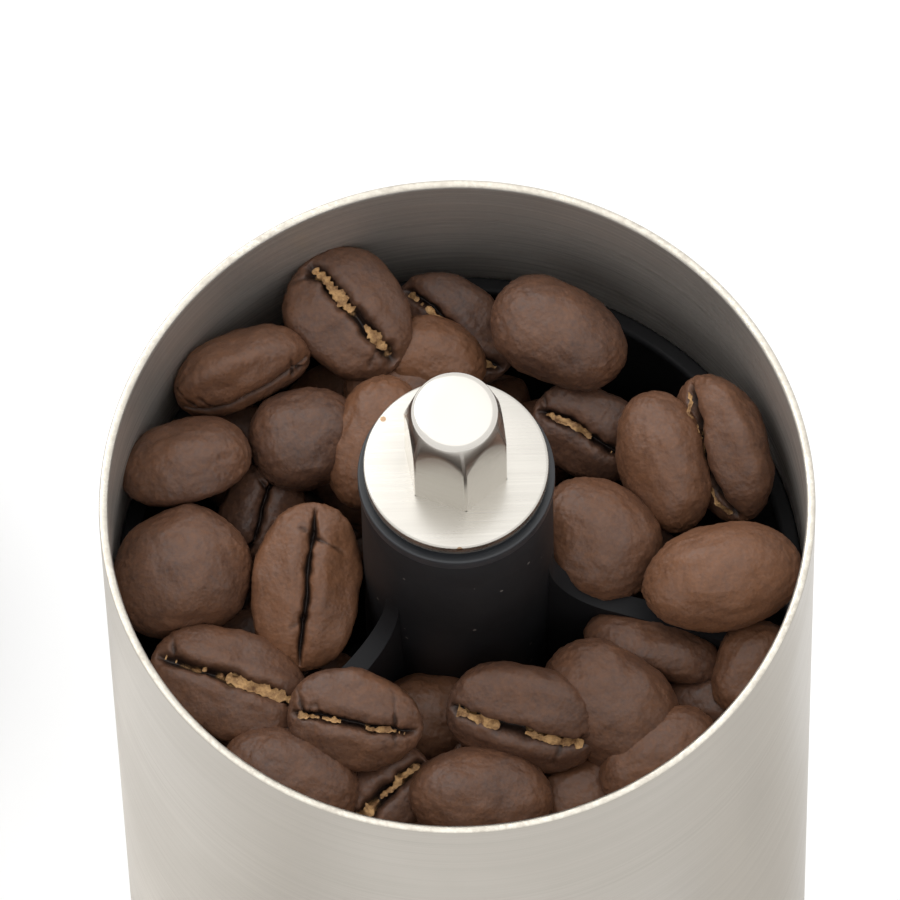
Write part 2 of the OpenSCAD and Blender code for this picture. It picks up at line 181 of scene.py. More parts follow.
def eased(bm: Mesh, width: float, segments: int = 3, angle: float = 35.0) -> None:
    """Rounds a mesh's sharp edges.

    Args:
        bm: the mesh, changed in place.
        width: how far the rounding reaches on each face.
        segments: pieces that it is drawn in.
        angle: edges that turn more than this many degrees are rounded.
    """
    sharp = [e for e in bm.edges
             if len(e.link_faces) == 2 and e.calc_face_angle(0.0) > math.radians(angle)]
    bmesh.ops.bevel(bm, geom=sharp, offset=width, segments=segments, profile=0.5,
                    affect="EDGES", clamp_overlap=True)


def joined(parts: Iterable[Mesh]) -> Mesh:
    """Puts several meshes into one and frees them."""
    whole = bmesh.new()
    for part in parts:
        scratch = bpy.data.meshes.new("scratch")
        part.to_mesh(scratch)
        part.free()
        whole.from_mesh(scratch)
        bpy.data.meshes.remove(scratch)
    return whole


def moved(bm: Mesh, matrix: Matrix) -> Mesh:
    """Moves a mesh by a matrix and returns it."""
    bmesh.ops.transform(bm, matrix=matrix, verts=bm.verts)
    return bm


def loose(name: str, bm: Mesh) -> Object:
    """Makes an unplaced object of a mesh, and frees the mesh."""
    mesh = bpy.data.meshes.new(name)
    bm.to_mesh(mesh)
    bm.free()
    obj = bpy.data.objects.new(name, mesh)
    bpy.context.scene.collection.objects.link(obj)
    return obj


def settled(obj: Object) -> None:
    """Turns an object's modifiers into its plain mesh."""
    graph = bpy.context.evaluated_depsgraph_get()
    graph.update()
    mesh = bpy.data.meshes.new_from_object(obj.evaluated_get(graph))
    old = obj.data
    obj.modifiers.clear()
    obj.data = mesh
    bpy.data.meshes.remove(old)


def combined(name: str, parts: Sequence[Mesh], operation: str) -> Mesh:
    """Joins or cuts closed meshes exactly.

    Args:
        name: a name for the scratch objects.
        parts: the first is kept, and the others are added to it, cut from it or crossed with it.
        operation: UNION, DIFFERENCE or INTERSECT.

    Returns:
        The new mesh.
    """
    base = loose(name, parts[0])
    tools = [loose(f"{name}_{i}", p) for i, p in enumerate(parts[1:])]
    for tool in tools:
        cut = base.modifiers.new("cut", "BOOLEAN")
        cut.operation = operation
        cut.solver = "EXACT"
        cut.object = tool
    settled(base)
    out = bmesh.new()
    out.from_mesh(base.data)
    for obj in [base, *tools]:
        mesh = obj.data
        bpy.data.objects.remove(obj)
        bpy.data.meshes.remove(mesh)
    return out


def cad_copy(node: str) -> Mesh:
    """A merged copy of a CAD node's mesh."""
    bm = bmesh.new()
    bm.from_mesh(frame["nodes"][node].data)
    bmesh.ops.remove_doubles(bm, verts=bm.verts, dist=1e-6)
    bmesh.ops.dissolve_limit(bm, angle_limit=math.radians(0.4), verts=bm.verts, edges=bm.edges)
    return bm


def size_of(node: str) -> tuple[Vector, Vector, Vector]:
    """A CAD node's lowest corner, highest corner and middle."""
    low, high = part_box(node)
    low, high = Vector(low), Vector(high)
    return low, high, (low + high) / 2


def place(name: str, bm: Mesh, body: str, nodes: Sequence[str], slot: str,
          materials: Sequence[Material], sharp: float = 32.0,
          choose: Optional[Callable[[Vector, Vector], int]] = None) -> Object:
    """Makes a finished piece of a mesh and ties it to its CAD body.

    Args:
        name: the piece's name.
        bm: its mesh, freed here.
        body: the CAD body that it rides on.
        nodes: the CAD nodes that it stands for.
        slot: the record's material slot; not used.
        materials: its materials.
        sharp: edges that turn more than this many degrees are shaded sharp.
        choose: gives the material's number from a face's middle and normal.

    Returns:
        The new object.
    """
    bm.normal_update()
    if choose:
        for f in bm.faces:
            f.material_index = choose(f.calc_center_median(), f.normal)
    for f in bm.faces:
        f.smooth = True
    obj = loose(name, bm)
    for m in materials:
        obj.data.materials.append(m)
    obj.data.set_sharp_from_angle(angle=math.radians(sharp))
    even = obj.modifiers.new("even_shading", "WEIGHTED_NORMAL")
    even.keep_sharp = True
    settled(obj)
    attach(obj, body)
    if nodes:
        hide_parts(*nodes)
    LOG.info("piece %s on %s: %d faces", name, body, len(obj.data.polygons))
    return obj


# ---------------------------------------------------------------------------------------------
# Shader tools
# ---------------------------------------------------------------------------------------------


class Tree:
    """A short way to add and join nodes in a node tree."""

    def __init__(self, tree: NodeTree) -> None:
        """Keeps the tree."""
        self.tree = tree

    def link(self, source: Socket, target: Socket) -> None:
        """Joins an output to an input."""
        self.tree.links.new(source, target)

    def add(self, kind: str, inputs: Optional[dict] = None, **settings) -> Node:
        """Adds a node.

        Args:
            kind: the node's type.
            inputs: socket name or number to a value or to another node's output.
            settings: the node's own properties.

        Returns:
            The new node.
        """
        node = self.tree.nodes.new(kind)
        for key, value in settings.items():
            setattr(node, key, value)
        for key, value in (inputs or {}).items():
            if isinstance(value, Socket):
                self.link(value, node.inputs[key])
            else:
                node.inputs[key].default_value = value
        return node

    def maths(self, operation: str, a, b=0.0, clamp: bool = False) -> Socket:
        """The output of a Math node on two values or sockets."""
        return self.add("ShaderNodeMath", {0: a, 1: b}, operation=operation, use_clamp=clamp).outputs[0]

    def ranged(self, value, low: float, high: float, to_low: float = 0.0,
               to_high: float = 1.0) -> Socket:
        """Maps a value from one range to another, held at its ends."""
        node = self.add("ShaderNodeMapRange", {"Value": value, "From Min": low, "From Max": high,
                                               "To Min": to_low, "To Max": to_high})
        return node.outputs["Result"]

    def mixed(self, share, a, b) -> Socket:
        """Mixes two colours or colour sockets by a share."""
        node = self.add("ShaderNodeMix", data_type="RGBA")
        for key, value in (("Factor_Float", share), ("A_Color", a), ("B_Color", b)):
            socket = next(s for s in node.inputs if s.identifier == key)
            if isinstance(value, Socket):
                self.link(value, socket)
            elif key == "Factor_Float":
                socket.default_value = value
            else:
                socket.default_value = (*value[:3], 1.0)
        return next(s for s in node.outputs if s.identifier == "Result_Color")


def shader_group(name: str, inputs: Sequence[tuple[str, str, object]],
                 outputs: Sequence[tuple[str, str]]) -> tuple[Tree, Node, Node]:
    """Starts a shader node group with named sockets.

    Args:
        name: the group's name.
        inputs: (name, socket type, default) for each input.
        outputs: (name, socket type) for each output.

    Returns:
        The tree, its input node and its output node.
    """
    group = bpy.data.node_groups.new(name, "ShaderNodeTree")
    for label, kind, default in inputs:
        socket = group.interface.new_socket(label, in_out="INPUT", socket_type=kind)
        socket.default_value = default
    for label, kind in outputs:
        group.interface.new_socket(label, in_out="OUTPUT", socket_type=kind)
    tree = Tree(group)
    return tree, tree.add("NodeGroupInput"), tree.add("NodeGroupOutput")


FLOAT, VECTOR = "NodeSocketFloat", "NodeSocketVector"


def brush_marks_group() -> NodeTree:
    """Fine brushing: long thin streaks, with Tone from 0 to 1 and Height for a bump."""
    tree, given, out = shader_group(
        "brush_marks", [("Scale", VECTOR, (40.0, 40.0, 6000.0)), ("Broken", FLOAT, 0.4)],
        [("Tone", FLOAT), ("Height", FLOAT)])
    at = tree.add("ShaderNodeTexCoord").outputs["Object"]
    stretched = tree.add("ShaderNodeVectorMath", {0: at, 1: given.outputs["Scale"]},
                         operation="MULTIPLY").outputs[0]
    fine = tree.add("ShaderNodeTexNoise", {"Vector": stretched, "Scale": 1.0, "Detail": 3.0,
                                           "Roughness": 0.62}).outputs["Fac"]
    wide = tree.add("ShaderNodeTexNoise", {"Vector": stretched, "Scale": 0.17, "Detail": 2.0,
                                           "Roughness": 0.55}).outputs["Fac"]
    patch = tree.add("ShaderNodeTexNoise", {"Vector": at, "Scale": 150.0, "Detail": 2.0}).outputs["Fac"]
    worn = tree.maths("MULTIPLY", tree.ranged(patch, 0.35, 0.65), given.outputs["Broken"])
    both = tree.maths("ADD", tree.maths("MULTIPLY", fine, 0.6), tree.maths("MULTIPLY", wide, 0.4))
    kept = tree.maths("SUBTRACT", 1.0, worn)
    tone = tree.ranged(both, 0.34, 0.66)
    centred = tree.maths("MULTIPLY", tree.maths("SUBTRACT", tone, 0.5), kept)
    final = tree.maths("ADD", centred, 0.5)
    tree.link(final, out.inputs["Tone"])
    tree.link(final, out.inputs["Height"])
    return tree.tree


def handling_group() -> NodeTree:
    """Soft uneven patches, as handling leaves: Mask from 0 to 1."""
    tree, given, out = shader_group(
        "handling", [("Size", FLOAT, 70.0), ("Low", FLOAT, 0.4), ("High", FLOAT, 0.65)],
        [("Mask", FLOAT)])
    at = tree.add("ShaderNodeTexCoord").outputs["Object"]
    soft = tree.add("ShaderNodeTexNoise", {"Vector": at, "Scale": given.outputs["Size"],
                                           "Detail": 3.0, "Distortion": 0.4}).outputs["Fac"]
    node = tree.add("ShaderNodeMapRange", {"Value": soft, "From Min": given.outputs["Low"],
                                           "From Max": given.outputs["High"]},
                    interpolation_type="SMOOTHSTEP")
    tree.link(node.outputs["Result"], out.inputs["Mask"])
    return tree.tree


def specks_group() -> NodeTree:
    """Scattered specks of dust or marks: Mask is 1 in each speck."""
    tree, given, out = shader_group(
        "specks", [("Spacing", FLOAT, 900.0), ("Size", FLOAT, 0.12), ("Share", FLOAT, 0.3)],
        [("Mask", FLOAT)])
    at = tree.add("ShaderNodeTexCoord").outputs["Object"]
    cells = tree.add("ShaderNodeTexVoronoi", {"Vector": at, "Scale": given.outputs["Spacing"]})
    near = tree.maths("LESS_THAN", cells.outputs["Distance"], given.outputs["Size"])
    pick = tree.add("ShaderNodeSeparateColor", {"Color": cells.outputs["Color"]}).outputs["Red"]
    chosen = tree.maths("LESS_THAN", pick, given.outputs["Share"])
    tree.link(tree.maths("MULTIPLY", near, chosen), out.inputs["Mask"])
    return tree.tree


def moulded_skin_group() -> NodeTree:
    """The skin of a moulded part: a fine grain Height and a slow Tone."""
    tree, given, out = shader_group(
        "moulded_skin", [("Grain", FLOAT, 2500.0)], [("Height", FLOAT), ("Tone", FLOAT)])
    at = tree.add("ShaderNodeTexCoord").outputs["Object"]
    grain = tree.add("ShaderNodeTexNoise", {"Vector": at, "Scale": given.outputs["Grain"],
                                            "Detail": 2.0, "Roughness": 0.6}).outputs["Fac"]
    slow = tree.add("ShaderNodeTexNoise", {"Vector": at, "Scale": 90.0, "Detail": 3.0}).outputs["Fac"]
    tree.link(grain, out.inputs["Height"])
    tree.link(tree.ranged(slow, 0.35, 0.65), out.inputs["Tone"])
    return tree.tree


def glint_and_worn_edges_group() -> NodeTree:
    """Wear and painted glint along convex edges: Mask from 0 to 1."""
    tree, given, out = shader_group("glint_and_worn_edges", [("Reach", FLOAT, 0.53)], [("Mask", FLOAT)])
    # Painted glint and wear: the mask follows convex edges.
    bend = tree.add("ShaderNodeNewGeometry").outputs["Pointiness"]
    at = tree.add("ShaderNodeTexCoord").outputs["Object"]
    broken = tree.add("ShaderNodeTexNoise", {"Vector": at, "Scale": 900.0, "Detail": 3.0}).outputs["Fac"]
    over = tree.maths("SUBTRACT", bend, given.outputs["Reach"])
    mask = tree.maths("MULTIPLY", tree.ranged(over, 0.0, 0.06), tree.ranged(broken, 0.3, 0.7))
    tree.link(mask, out.inputs["Mask"])
    return tree.tree


class Groups:
    """The shader groups, each built once."""

    def __init__(self) -> None:
        """Builds every group."""
        self.brush = brush_marks_group()
        self.handling = handling_group()
        self.specks = specks_group()
        self.skin = moulded_skin_group()
        self.wear_and_glint = glint_and_worn_edges_group()


GROUPS = Groups()


def use_group(tree: Tree, group: NodeTree, **inputs) -> Node:
    """Places a shader group in a tree with its own input values."""
    node = tree.add("ShaderNodeGroup", node_tree=group)
    for key, value in inputs.items():
        node.inputs[key].default_value = value
    return node


def new_material(name: str) -> tuple[Material, Tree, Node]:
    """A material, its tree and its Principled BSDF."""
    material = bpy.data.materials.new(name)
    material.use_nodes = True
    tree = Tree(material.node_tree)
    return material, tree, material.node_tree.nodes["Principled BSDF"]


def give_bump(tree: Tree, shader: Node, height: Socket,
              depth: float, strength: float = 1.0) -> None:
    """Feeds a height in metres of depth to a shader's normal."""
    bump = tree.add("ShaderNodeBump", {"Height": height, "Distance": depth, "Strength": strength})
    tree.link(bump.outputs["Normal"], shader.inputs["Normal"])


class Grain(Enum):
    """Which way a piece was brushed, as how fast the marks change along X, Y and Z."""

    AROUND = (30.0, 30.0, 7000.0)
    AROUND_COARSE = (22.0, 22.0, 3600.0)
    ACROSS_Y = (5200.0, 60.0, 5200.0)
    ACROSS_X = (60.0, 5200.0, 5200.0)
    EVEN = (2600.0, 2600.0, 2600.0)


@dataclass(frozen=True)
class Steel:
    """A brushed or turned metal finish."""

    name: str
    colour: Colour
    deep: Colour
    roughness: float
    spread: float
    grain: Grain
    depth: float
    patch: float = 0.06
    anisotropy: float = 0.0
    broken: float = 0.4
    speck: Optional[Colour] = None
    metallic: float = 1.0

    def build(self) -> Material:
        """Builds the material.

        Returns:
            The new material.
        """
        material, tree, shader = new_material(self.name)
        marks = use_group(tree, GROUPS.brush, Scale=self.grain.value, Broken=self.broken)
        hands = use_group(tree, GROUPS.handling, Size=60.0)
        colour = tree.mixed(marks.outputs["Tone"], self.deep, self.colour)
        dull = tree.maths("MULTIPLY", hands.outputs["Mask"], self.patch)
        if self.speck:
            spots = use_group(tree, GROUPS.specks, Spacing=420.0, Size=0.09, Share=0.12)
            colour = tree.mixed(spots.outputs["Mask"], colour, self.speck)
        tree.link(colour, shader.inputs["Base Color"])
        streak = tree.maths("MULTIPLY", tree.maths("SUBTRACT", marks.outputs["Tone"], 0.5), self.spread)
        rough = tree.maths("ADD", tree.maths("SUBTRACT", self.roughness, streak), dull, clamp=True)
        tree.link(rough, shader.inputs["Roughness"])
        shader.inputs["Metallic"].default_value = self.metallic
        if self.anisotropy:
            shader.inputs["Anisotropic"].default_value = self.anisotropy
        give_bump(tree, shader, marks.outputs["Height"], self.depth)
        return material


@dataclass(frozen=True)
class Moulded:
    """A moulded plastic, rubber or fired ceramic finish."""

    name: str
    colour: Colour
    light: Colour
    roughness: float
    grain: float
    depth: float
    coat: float = 0.0
    dust: Optional[Colour] = None
    wear_and_glint: float = 0.0
    shine: float = 0.5

    def build(self) -> Material:
        """Builds the material.

        Returns:
            The new material.
        """
        material, tree, shader = new_material(self.name)
        skin = use_group(tree, GROUPS.skin, Grain=self.grain)
        hands = use_group(tree, GROUPS.handling, Size=110.0)
        colour = tree.mixed(tree.maths("MULTIPLY", skin.outputs["Tone"], 0.6), self.colour, self.light)
        # Wear and painted glint: convex edges are lightened towards a pale grey.
        if self.wear_and_glint:
            edges = use_group(tree, GROUPS.wear_and_glint, Reach=0.53)
            rubbed_and_glint = tree.maths("MULTIPLY", edges.outputs["Mask"], self.wear_and_glint)
            colour = tree.mixed(rubbed_and_glint, colour, tuple(min(1.0, c * 2.5 + 0.02) for c in self.light))
        if self.dust:
            spots = use_group(tree, GROUPS.specks, Spacing=1100.0, Size=0.13, Share=0.10)
            colour = tree.mixed(tree.maths("MULTIPLY", spots.outputs["Mask"], 0.5), colour, self.dust)
        tree.link(colour, shader.inputs["Base Color"])
        rough = tree.maths("ADD", self.roughness, tree.maths("MULTIPLY", hands.outputs["Mask"], 0.10),
                           clamp=True)
        tree.link(rough, shader.inputs["Roughness"])
        shader.inputs["Specular IOR Level"].default_value = self.shine
        if self.coat:
            shader.inputs["Coat Weight"].default_value = self.coat
            shader.inputs["Coat Roughness"].default_value = 0.12
        give_bump(tree, shader, skin.outputs["Height"], self.depth)
        return material


class Finishes:
    """Every finish on the grinder, built once."""

    def __init__(self) -> None:
        """Builds the materials."""
        self.shell_outside = Steel("satin_steel_outside", (0.470, 0.438, 0.390), (0.430, 0.400, 0.356),
                                   0.36, 0.10, Grain.AROUND, 4e-6, 0.07).build()
        self.shell_inside = Steel("drawn_steel_inside", (0.76, 0.715, 0.66), (0.40, 0.375, 0.345),
                                  0.46, 0.26, Grain.AROUND_COARSE, 3.0e-5, 0.05, broken=0.3,
                                  metallic=0.78).build()
        self.rim = Steel("cut_edge", (0.76, 0.72, 0.63), (0.48, 0.44, 0.38),
                         0.30, 0.22, Grain.EVEN, 2.0e-5, 0.08, speck=(0.30, 0.26, 0.22)).build()
        self.bright = Steel("bright_steel", (0.61, 0.585, 0.535), (0.54, 0.515, 0.47),
                            0.24, 0.10, Grain.ACROSS_X, 3e-6, 0.06, speck=(0.36, 0.24, 0.15)).build()
        self.head = Steel("head_steel", (0.70, 0.67, 0.62), (0.61, 0.58, 0.53),
                          0.20, 0.08, Grain.AROUND, 3e-6, 0.05).build()
        self.lid_top = Steel("lid_steel", (0.66, 0.63, 0.585), (0.58, 0.55, 0.51),
                             0.30, 0.12, Grain.AROUND, 4e-6, 0.08).build()
        self.arm = Steel("arm_steel", (0.66, 0.63, 0.585), (0.55, 0.52, 0.48),
                         0.28, 0.16, Grain.ACROSS_Y, 5e-6, 0.08).build()
        self.spring = Steel("spring_steel", (0.56, 0.55, 0.54), (0.40, 0.39, 0.38),
                            0.30, 0.12, Grain.EVEN, 3e-6).build()
        self.brass = Steel("nut_brass", (0.80, 0.60, 0.28), (0.64, 0.46, 0.20),
                           0.28, 0.14, Grain.AROUND, 4e-6).build()
        self.gloss_black = Moulded("gloss_black", (0.010, 0.010, 0.011), (0.022, 0.022, 0.024),
                                   0.48, 1400.0, 6e-6, dust=(0.25, 0.22, 0.20), shine=0.18).build()
        self.bush_black = Moulded("bush_black", (0.017, 0.019, 0.022), (0.028, 0.030, 0.034),
                                  0.30, 1800.0, 4e-6).build()
        # Its convex edges are lightened as wear and painted glint.
        self.matt_black = Moulded("matt_black", (0.022, 0.022, 0.023), (0.040, 0.040, 0.042),
                                  0.46, 2600.0, 2.2e-5, dust=(0.20, 0.18, 0.16), wear_and_glint=0.3).build()
        self.ceramic = Moulded("fired_ceramic", (0.82, 0.79, 0.72), (0.90, 0.88, 0.83),
                               0.42, 3200.0, 1.2e-5, dust=(0.35, 0.22, 0.13)).build()
        self.rubber = Moulded("seal_rubber", (0.030, 0.030, 0.031), (0.050, 0.050, 0.052),
                              0.62, 2200.0, 1.6e-5, dust=(0.30, 0.22, 0.16)).build()


# ---------------------------------------------------------------------------------------------
# Geometry node trees
# ---------------------------------------------------------------------------------------------


def geometry_tree(name: str, inputs: Sequence[tuple[str, str]]
                  ) -> tuple[Tree, Node, Node]:
    """Starts a geometry node tree with a geometry input, named inputs and a geometry output."""
    group = bpy.data.node_groups.new(name, "GeometryNodeTree")
    group.interface.new_socket("Geometry", in_out="INPUT", socket_type="NodeSocketGeometry")
    for label, kind in inputs:
        group.interface.new_socket(label, in_out="INPUT", socket_type=kind)
    group.interface.new_socket("Geometry", in_out="OUTPUT", socket_type="NodeSocketGeometry")
    tree = Tree(group)
    return tree, tree.add("NodeGroupInput"), tree.add("NodeGroupOutput")


def closed_tree(tree: Tree, given: Node, out: Node,
                last: Node) -> NodeTree:
    """Ends a geometry node tree: the last node's geometry is made real and given its material."""
    real = tree.add("GeometryNodeRealizeInstances", {"Geometry": last.outputs["Geometry"]})
    dressed = tree.add("GeometryNodeSetMaterial", {"Geometry": real.outputs["Geometry"],
                                                   "Material": given.outputs["Material"]})
    tree.link(dressed.outputs["Geometry"], out.inputs["Geometry"])
    return tree.tree


def coil_tree() -> NodeTree:
    """A round wire wound into a coil about Z: Radius, Height, Turns, Wire, Foot and Material."""
    tree, given, out = geometry_tree("coil", [
        ("Radius", FLOAT), ("Height", FLOAT), ("Turns", FLOAT), ("Wire", FLOAT), ("Foot", VECTOR),
        ("Material", "NodeSocketMaterial")])
    path = tree.add("GeometryNodeCurveSpiral", {
        "Resolution": 40, "Rotations": given.outputs["Turns"], "Start Radius": given.outputs["Radius"],
        "End Radius": given.outputs["Radius"], "Height": given.outputs["Height"]})
    section = tree.add("GeometryNodeCurvePrimitiveCircle", {"Resolution": 14})
    tree.link(given.outputs["Wire"], section.inputs["Radius"])
    wire = tree.add("GeometryNodeCurveToMesh", {
        "Curve": path.outputs["Curve"], "Profile Curve": section.outputs["Curve"], "Fill Caps": True})
    put = tree.add("GeometryNodeTransform", {"Geometry": wire.outputs["Mesh"],
                                             "Translation": given.outputs["Foot"]})
    return closed_tree(tree, given, out, put)


def ribs_tree() -> NodeTree:
    """Upright round ribs set around a body: Count, Radius, Rib, Length, Middle and Material."""
    tree, given, out = geometry_tree("ribs", [
        ("Count", "NodeSocketInt"), ("Radius", FLOAT), ("Rib", FLOAT), ("Length", FLOAT),
        ("Middle", VECTOR), ("Material", "NodeSocketMaterial")])
    spots = tree.add("GeometryNodeMeshCircle", {"Vertices": given.outputs["Count"],
                                                "Radius": given.outputs["Radius"]})
    rib = tree.add("GeometryNodeMeshCylinder", {
        "Vertices": 12, "Side Segments": 1, "Radius": given.outputs["Rib"],
        "Depth": given.outputs["Length"]}, fill_type="NGON")
    set_out = tree.add("GeometryNodeInstanceOnPoints", {"Points": spots.outputs["Mesh"],
                                                        "Instance": rib.outputs["Mesh"]})
    put = tree.add("GeometryNodeTransform", {"Geometry": set_out.outputs["Instances"],
                                             "Translation": given.outputs["Middle"]})
    both = tree.add("GeometryNodeJoinGeometry")
    tree.link(put.outputs["Geometry"], both.inputs["Geometry"])
    tree.link(given.outputs["Geometry"], both.inputs["Geometry"])
    return closed_tree(tree, given, out, both)


def grown(obj: Object, tree: NodeTree, values: dict) -> Mesh:
    """Runs a geometry node tree on an object and returns the result as a plain mesh.

    Args:
        obj: the object, removed here.
        tree: the geometry node tree.
        values: input name to value.

    Returns:
        The mesh that the tree makes.
    """
    modifier = obj.modifiers.new(tree.name, "NODES")
    modifier.node_group = tree
    for item in tree.interface.items_tree:
        if item.in_out == "INPUT" and item.name in values:
            modifier[item.identifier] = values[item.name]
    settled(obj)
    bm = bmesh.new()
    bm.from_mesh(obj.data)
    mesh = obj.data
    bpy.data.objects.remove(obj)
    bpy.data.meshes.remove(mesh)
    return bm


# ---------------------------------------------------------------------------------------------
# Sub-assemblies
# ---------------------------------------------------------------------------------------------


@dataclass
class Canister:
    """The drawn steel shell, the grounds cup and the seal between them."""

    finishes: Finishes
    wall: float = 0.6 * MM
    floor: float = 0.8 * MM
    cup_edge: float = 1.8 * MM
    lip: float = 0.16 * MM
    inner_lip: float = 0.36 * MM
    segments: int = 360
    waver: float = 0.025 * MM

    def surface(self, outer: float) -> Callable[[Vector, Vector], int]:
        """A chooser of outside, inside and edge faces for a tube of an outer radius."""
        def choose(middle: Vector, normal: Vector) -> int:
            if abs(normal.z) > 0.55 and Vector((middle.x, middle.y)).length > outer - self.wall * 1.2:
                return 2
            outwards = normal.x * middle.x + normal.y * middle.y
            return 0 if outwards > 0.0 or middle.z < self.floor * 0.5 else 1
        return choose

    def ragged(self, bm: Mesh, rim: float) -> None:
        """Gives the cut rim the slight unevenness of a turned edge."""
        for v in bm.verts:
            if v.co.z > rim - self.lip * 1.5:
                v.co.z += self.waver * (noise.noise(v.co * 900.0) * 0.6 + noise.noise(v.co * 2600.0) * 0.4)
                v.co.z = min(v.co.z, rim)

    def shell(self) -> None:
        """Builds the upper shell, an open tube."""
        low, high, _ = size_of("upper_shell")
        outer, inner = high.x, high.x - self.wall
        rungs = 6
        heights = [low.z + (high.z - low.z) * k / rungs for k in range(1, rungs)]
        corners = [(inner, low.z, self.lip), (outer, low.z, self.lip)]
        corners += [(outer, z, 0.0) for z in heights]
        corners += [(outer, high.z, self.lip), (inner, high.z, self.inner_lip)]
        corners += [(inner, z, 0.0) for z in reversed(heights)]
        bm = turned(soften(corners), self.segments)
        self.ragged(bm, high.z)
        place("upper_shell_drawn", bm, "mill", ["upper_shell"], "satin_steel",
              [self.finishes.shell_outside, self.finishes.shell_inside, self.finishes.rim],
              choose=self.surface(outer))

    def cup(self) -> None:
        """Builds the grounds cup, with its rounded foot."""
        low, high, _ = size_of("grounds_cup")
        outer, inner = high.x, high.x - self.wall
        corners = [(0.0, low.z, 0.0), (outer * 0.7, low.z, 0.0), (outer, low.z, self.cup_edge * 1.5),
                   (outer, high.z * 0.5, 0.0), (outer, high.z, self.lip), (inner, high.z, self.lip),
                   (inner, high.z * 0.5, 0.0), (inner, low.z + self.floor, self.cup_edge),
                   (outer * 0.7, low.z + self.floor, 0.0), (0.0, low.z + self.floor, 0.0)]
        bm = turned(soften(corners, steps=8, closed=False), self.segments)
        place("grounds_cup_drawn", bm, "cup", ["grounds_cup"], "satin_steel",
              [self.finishes.shell_outside, self.finishes.shell_inside, self.finishes.rim],
              choose=self.surface(outer))

    def seal(self) -> None:
        """Builds the soft ring in the neck's groove, flattened a little where it bears."""
        low, high, middle = size_of("cup_seal")
        r = (high.z - low.z) / 2
        ring = high.x - r
        outline = [(ring + r * (math.cos(a) if math.cos(a) < 0 else 0.98 * math.cos(a)),
                    middle.z + r * math.sin(a))
                   for a in (TURN * k / 20 for k in range(20))]
        place("cup_seal_ring", turned(outline, 120), "mill", ["cup_seal"], "seal_rubber",
              [self.finishes.rubber])

    def build(self) -> None:
        """Builds the three pieces."""
        self.shell()
        self.cup()
        self.seal()


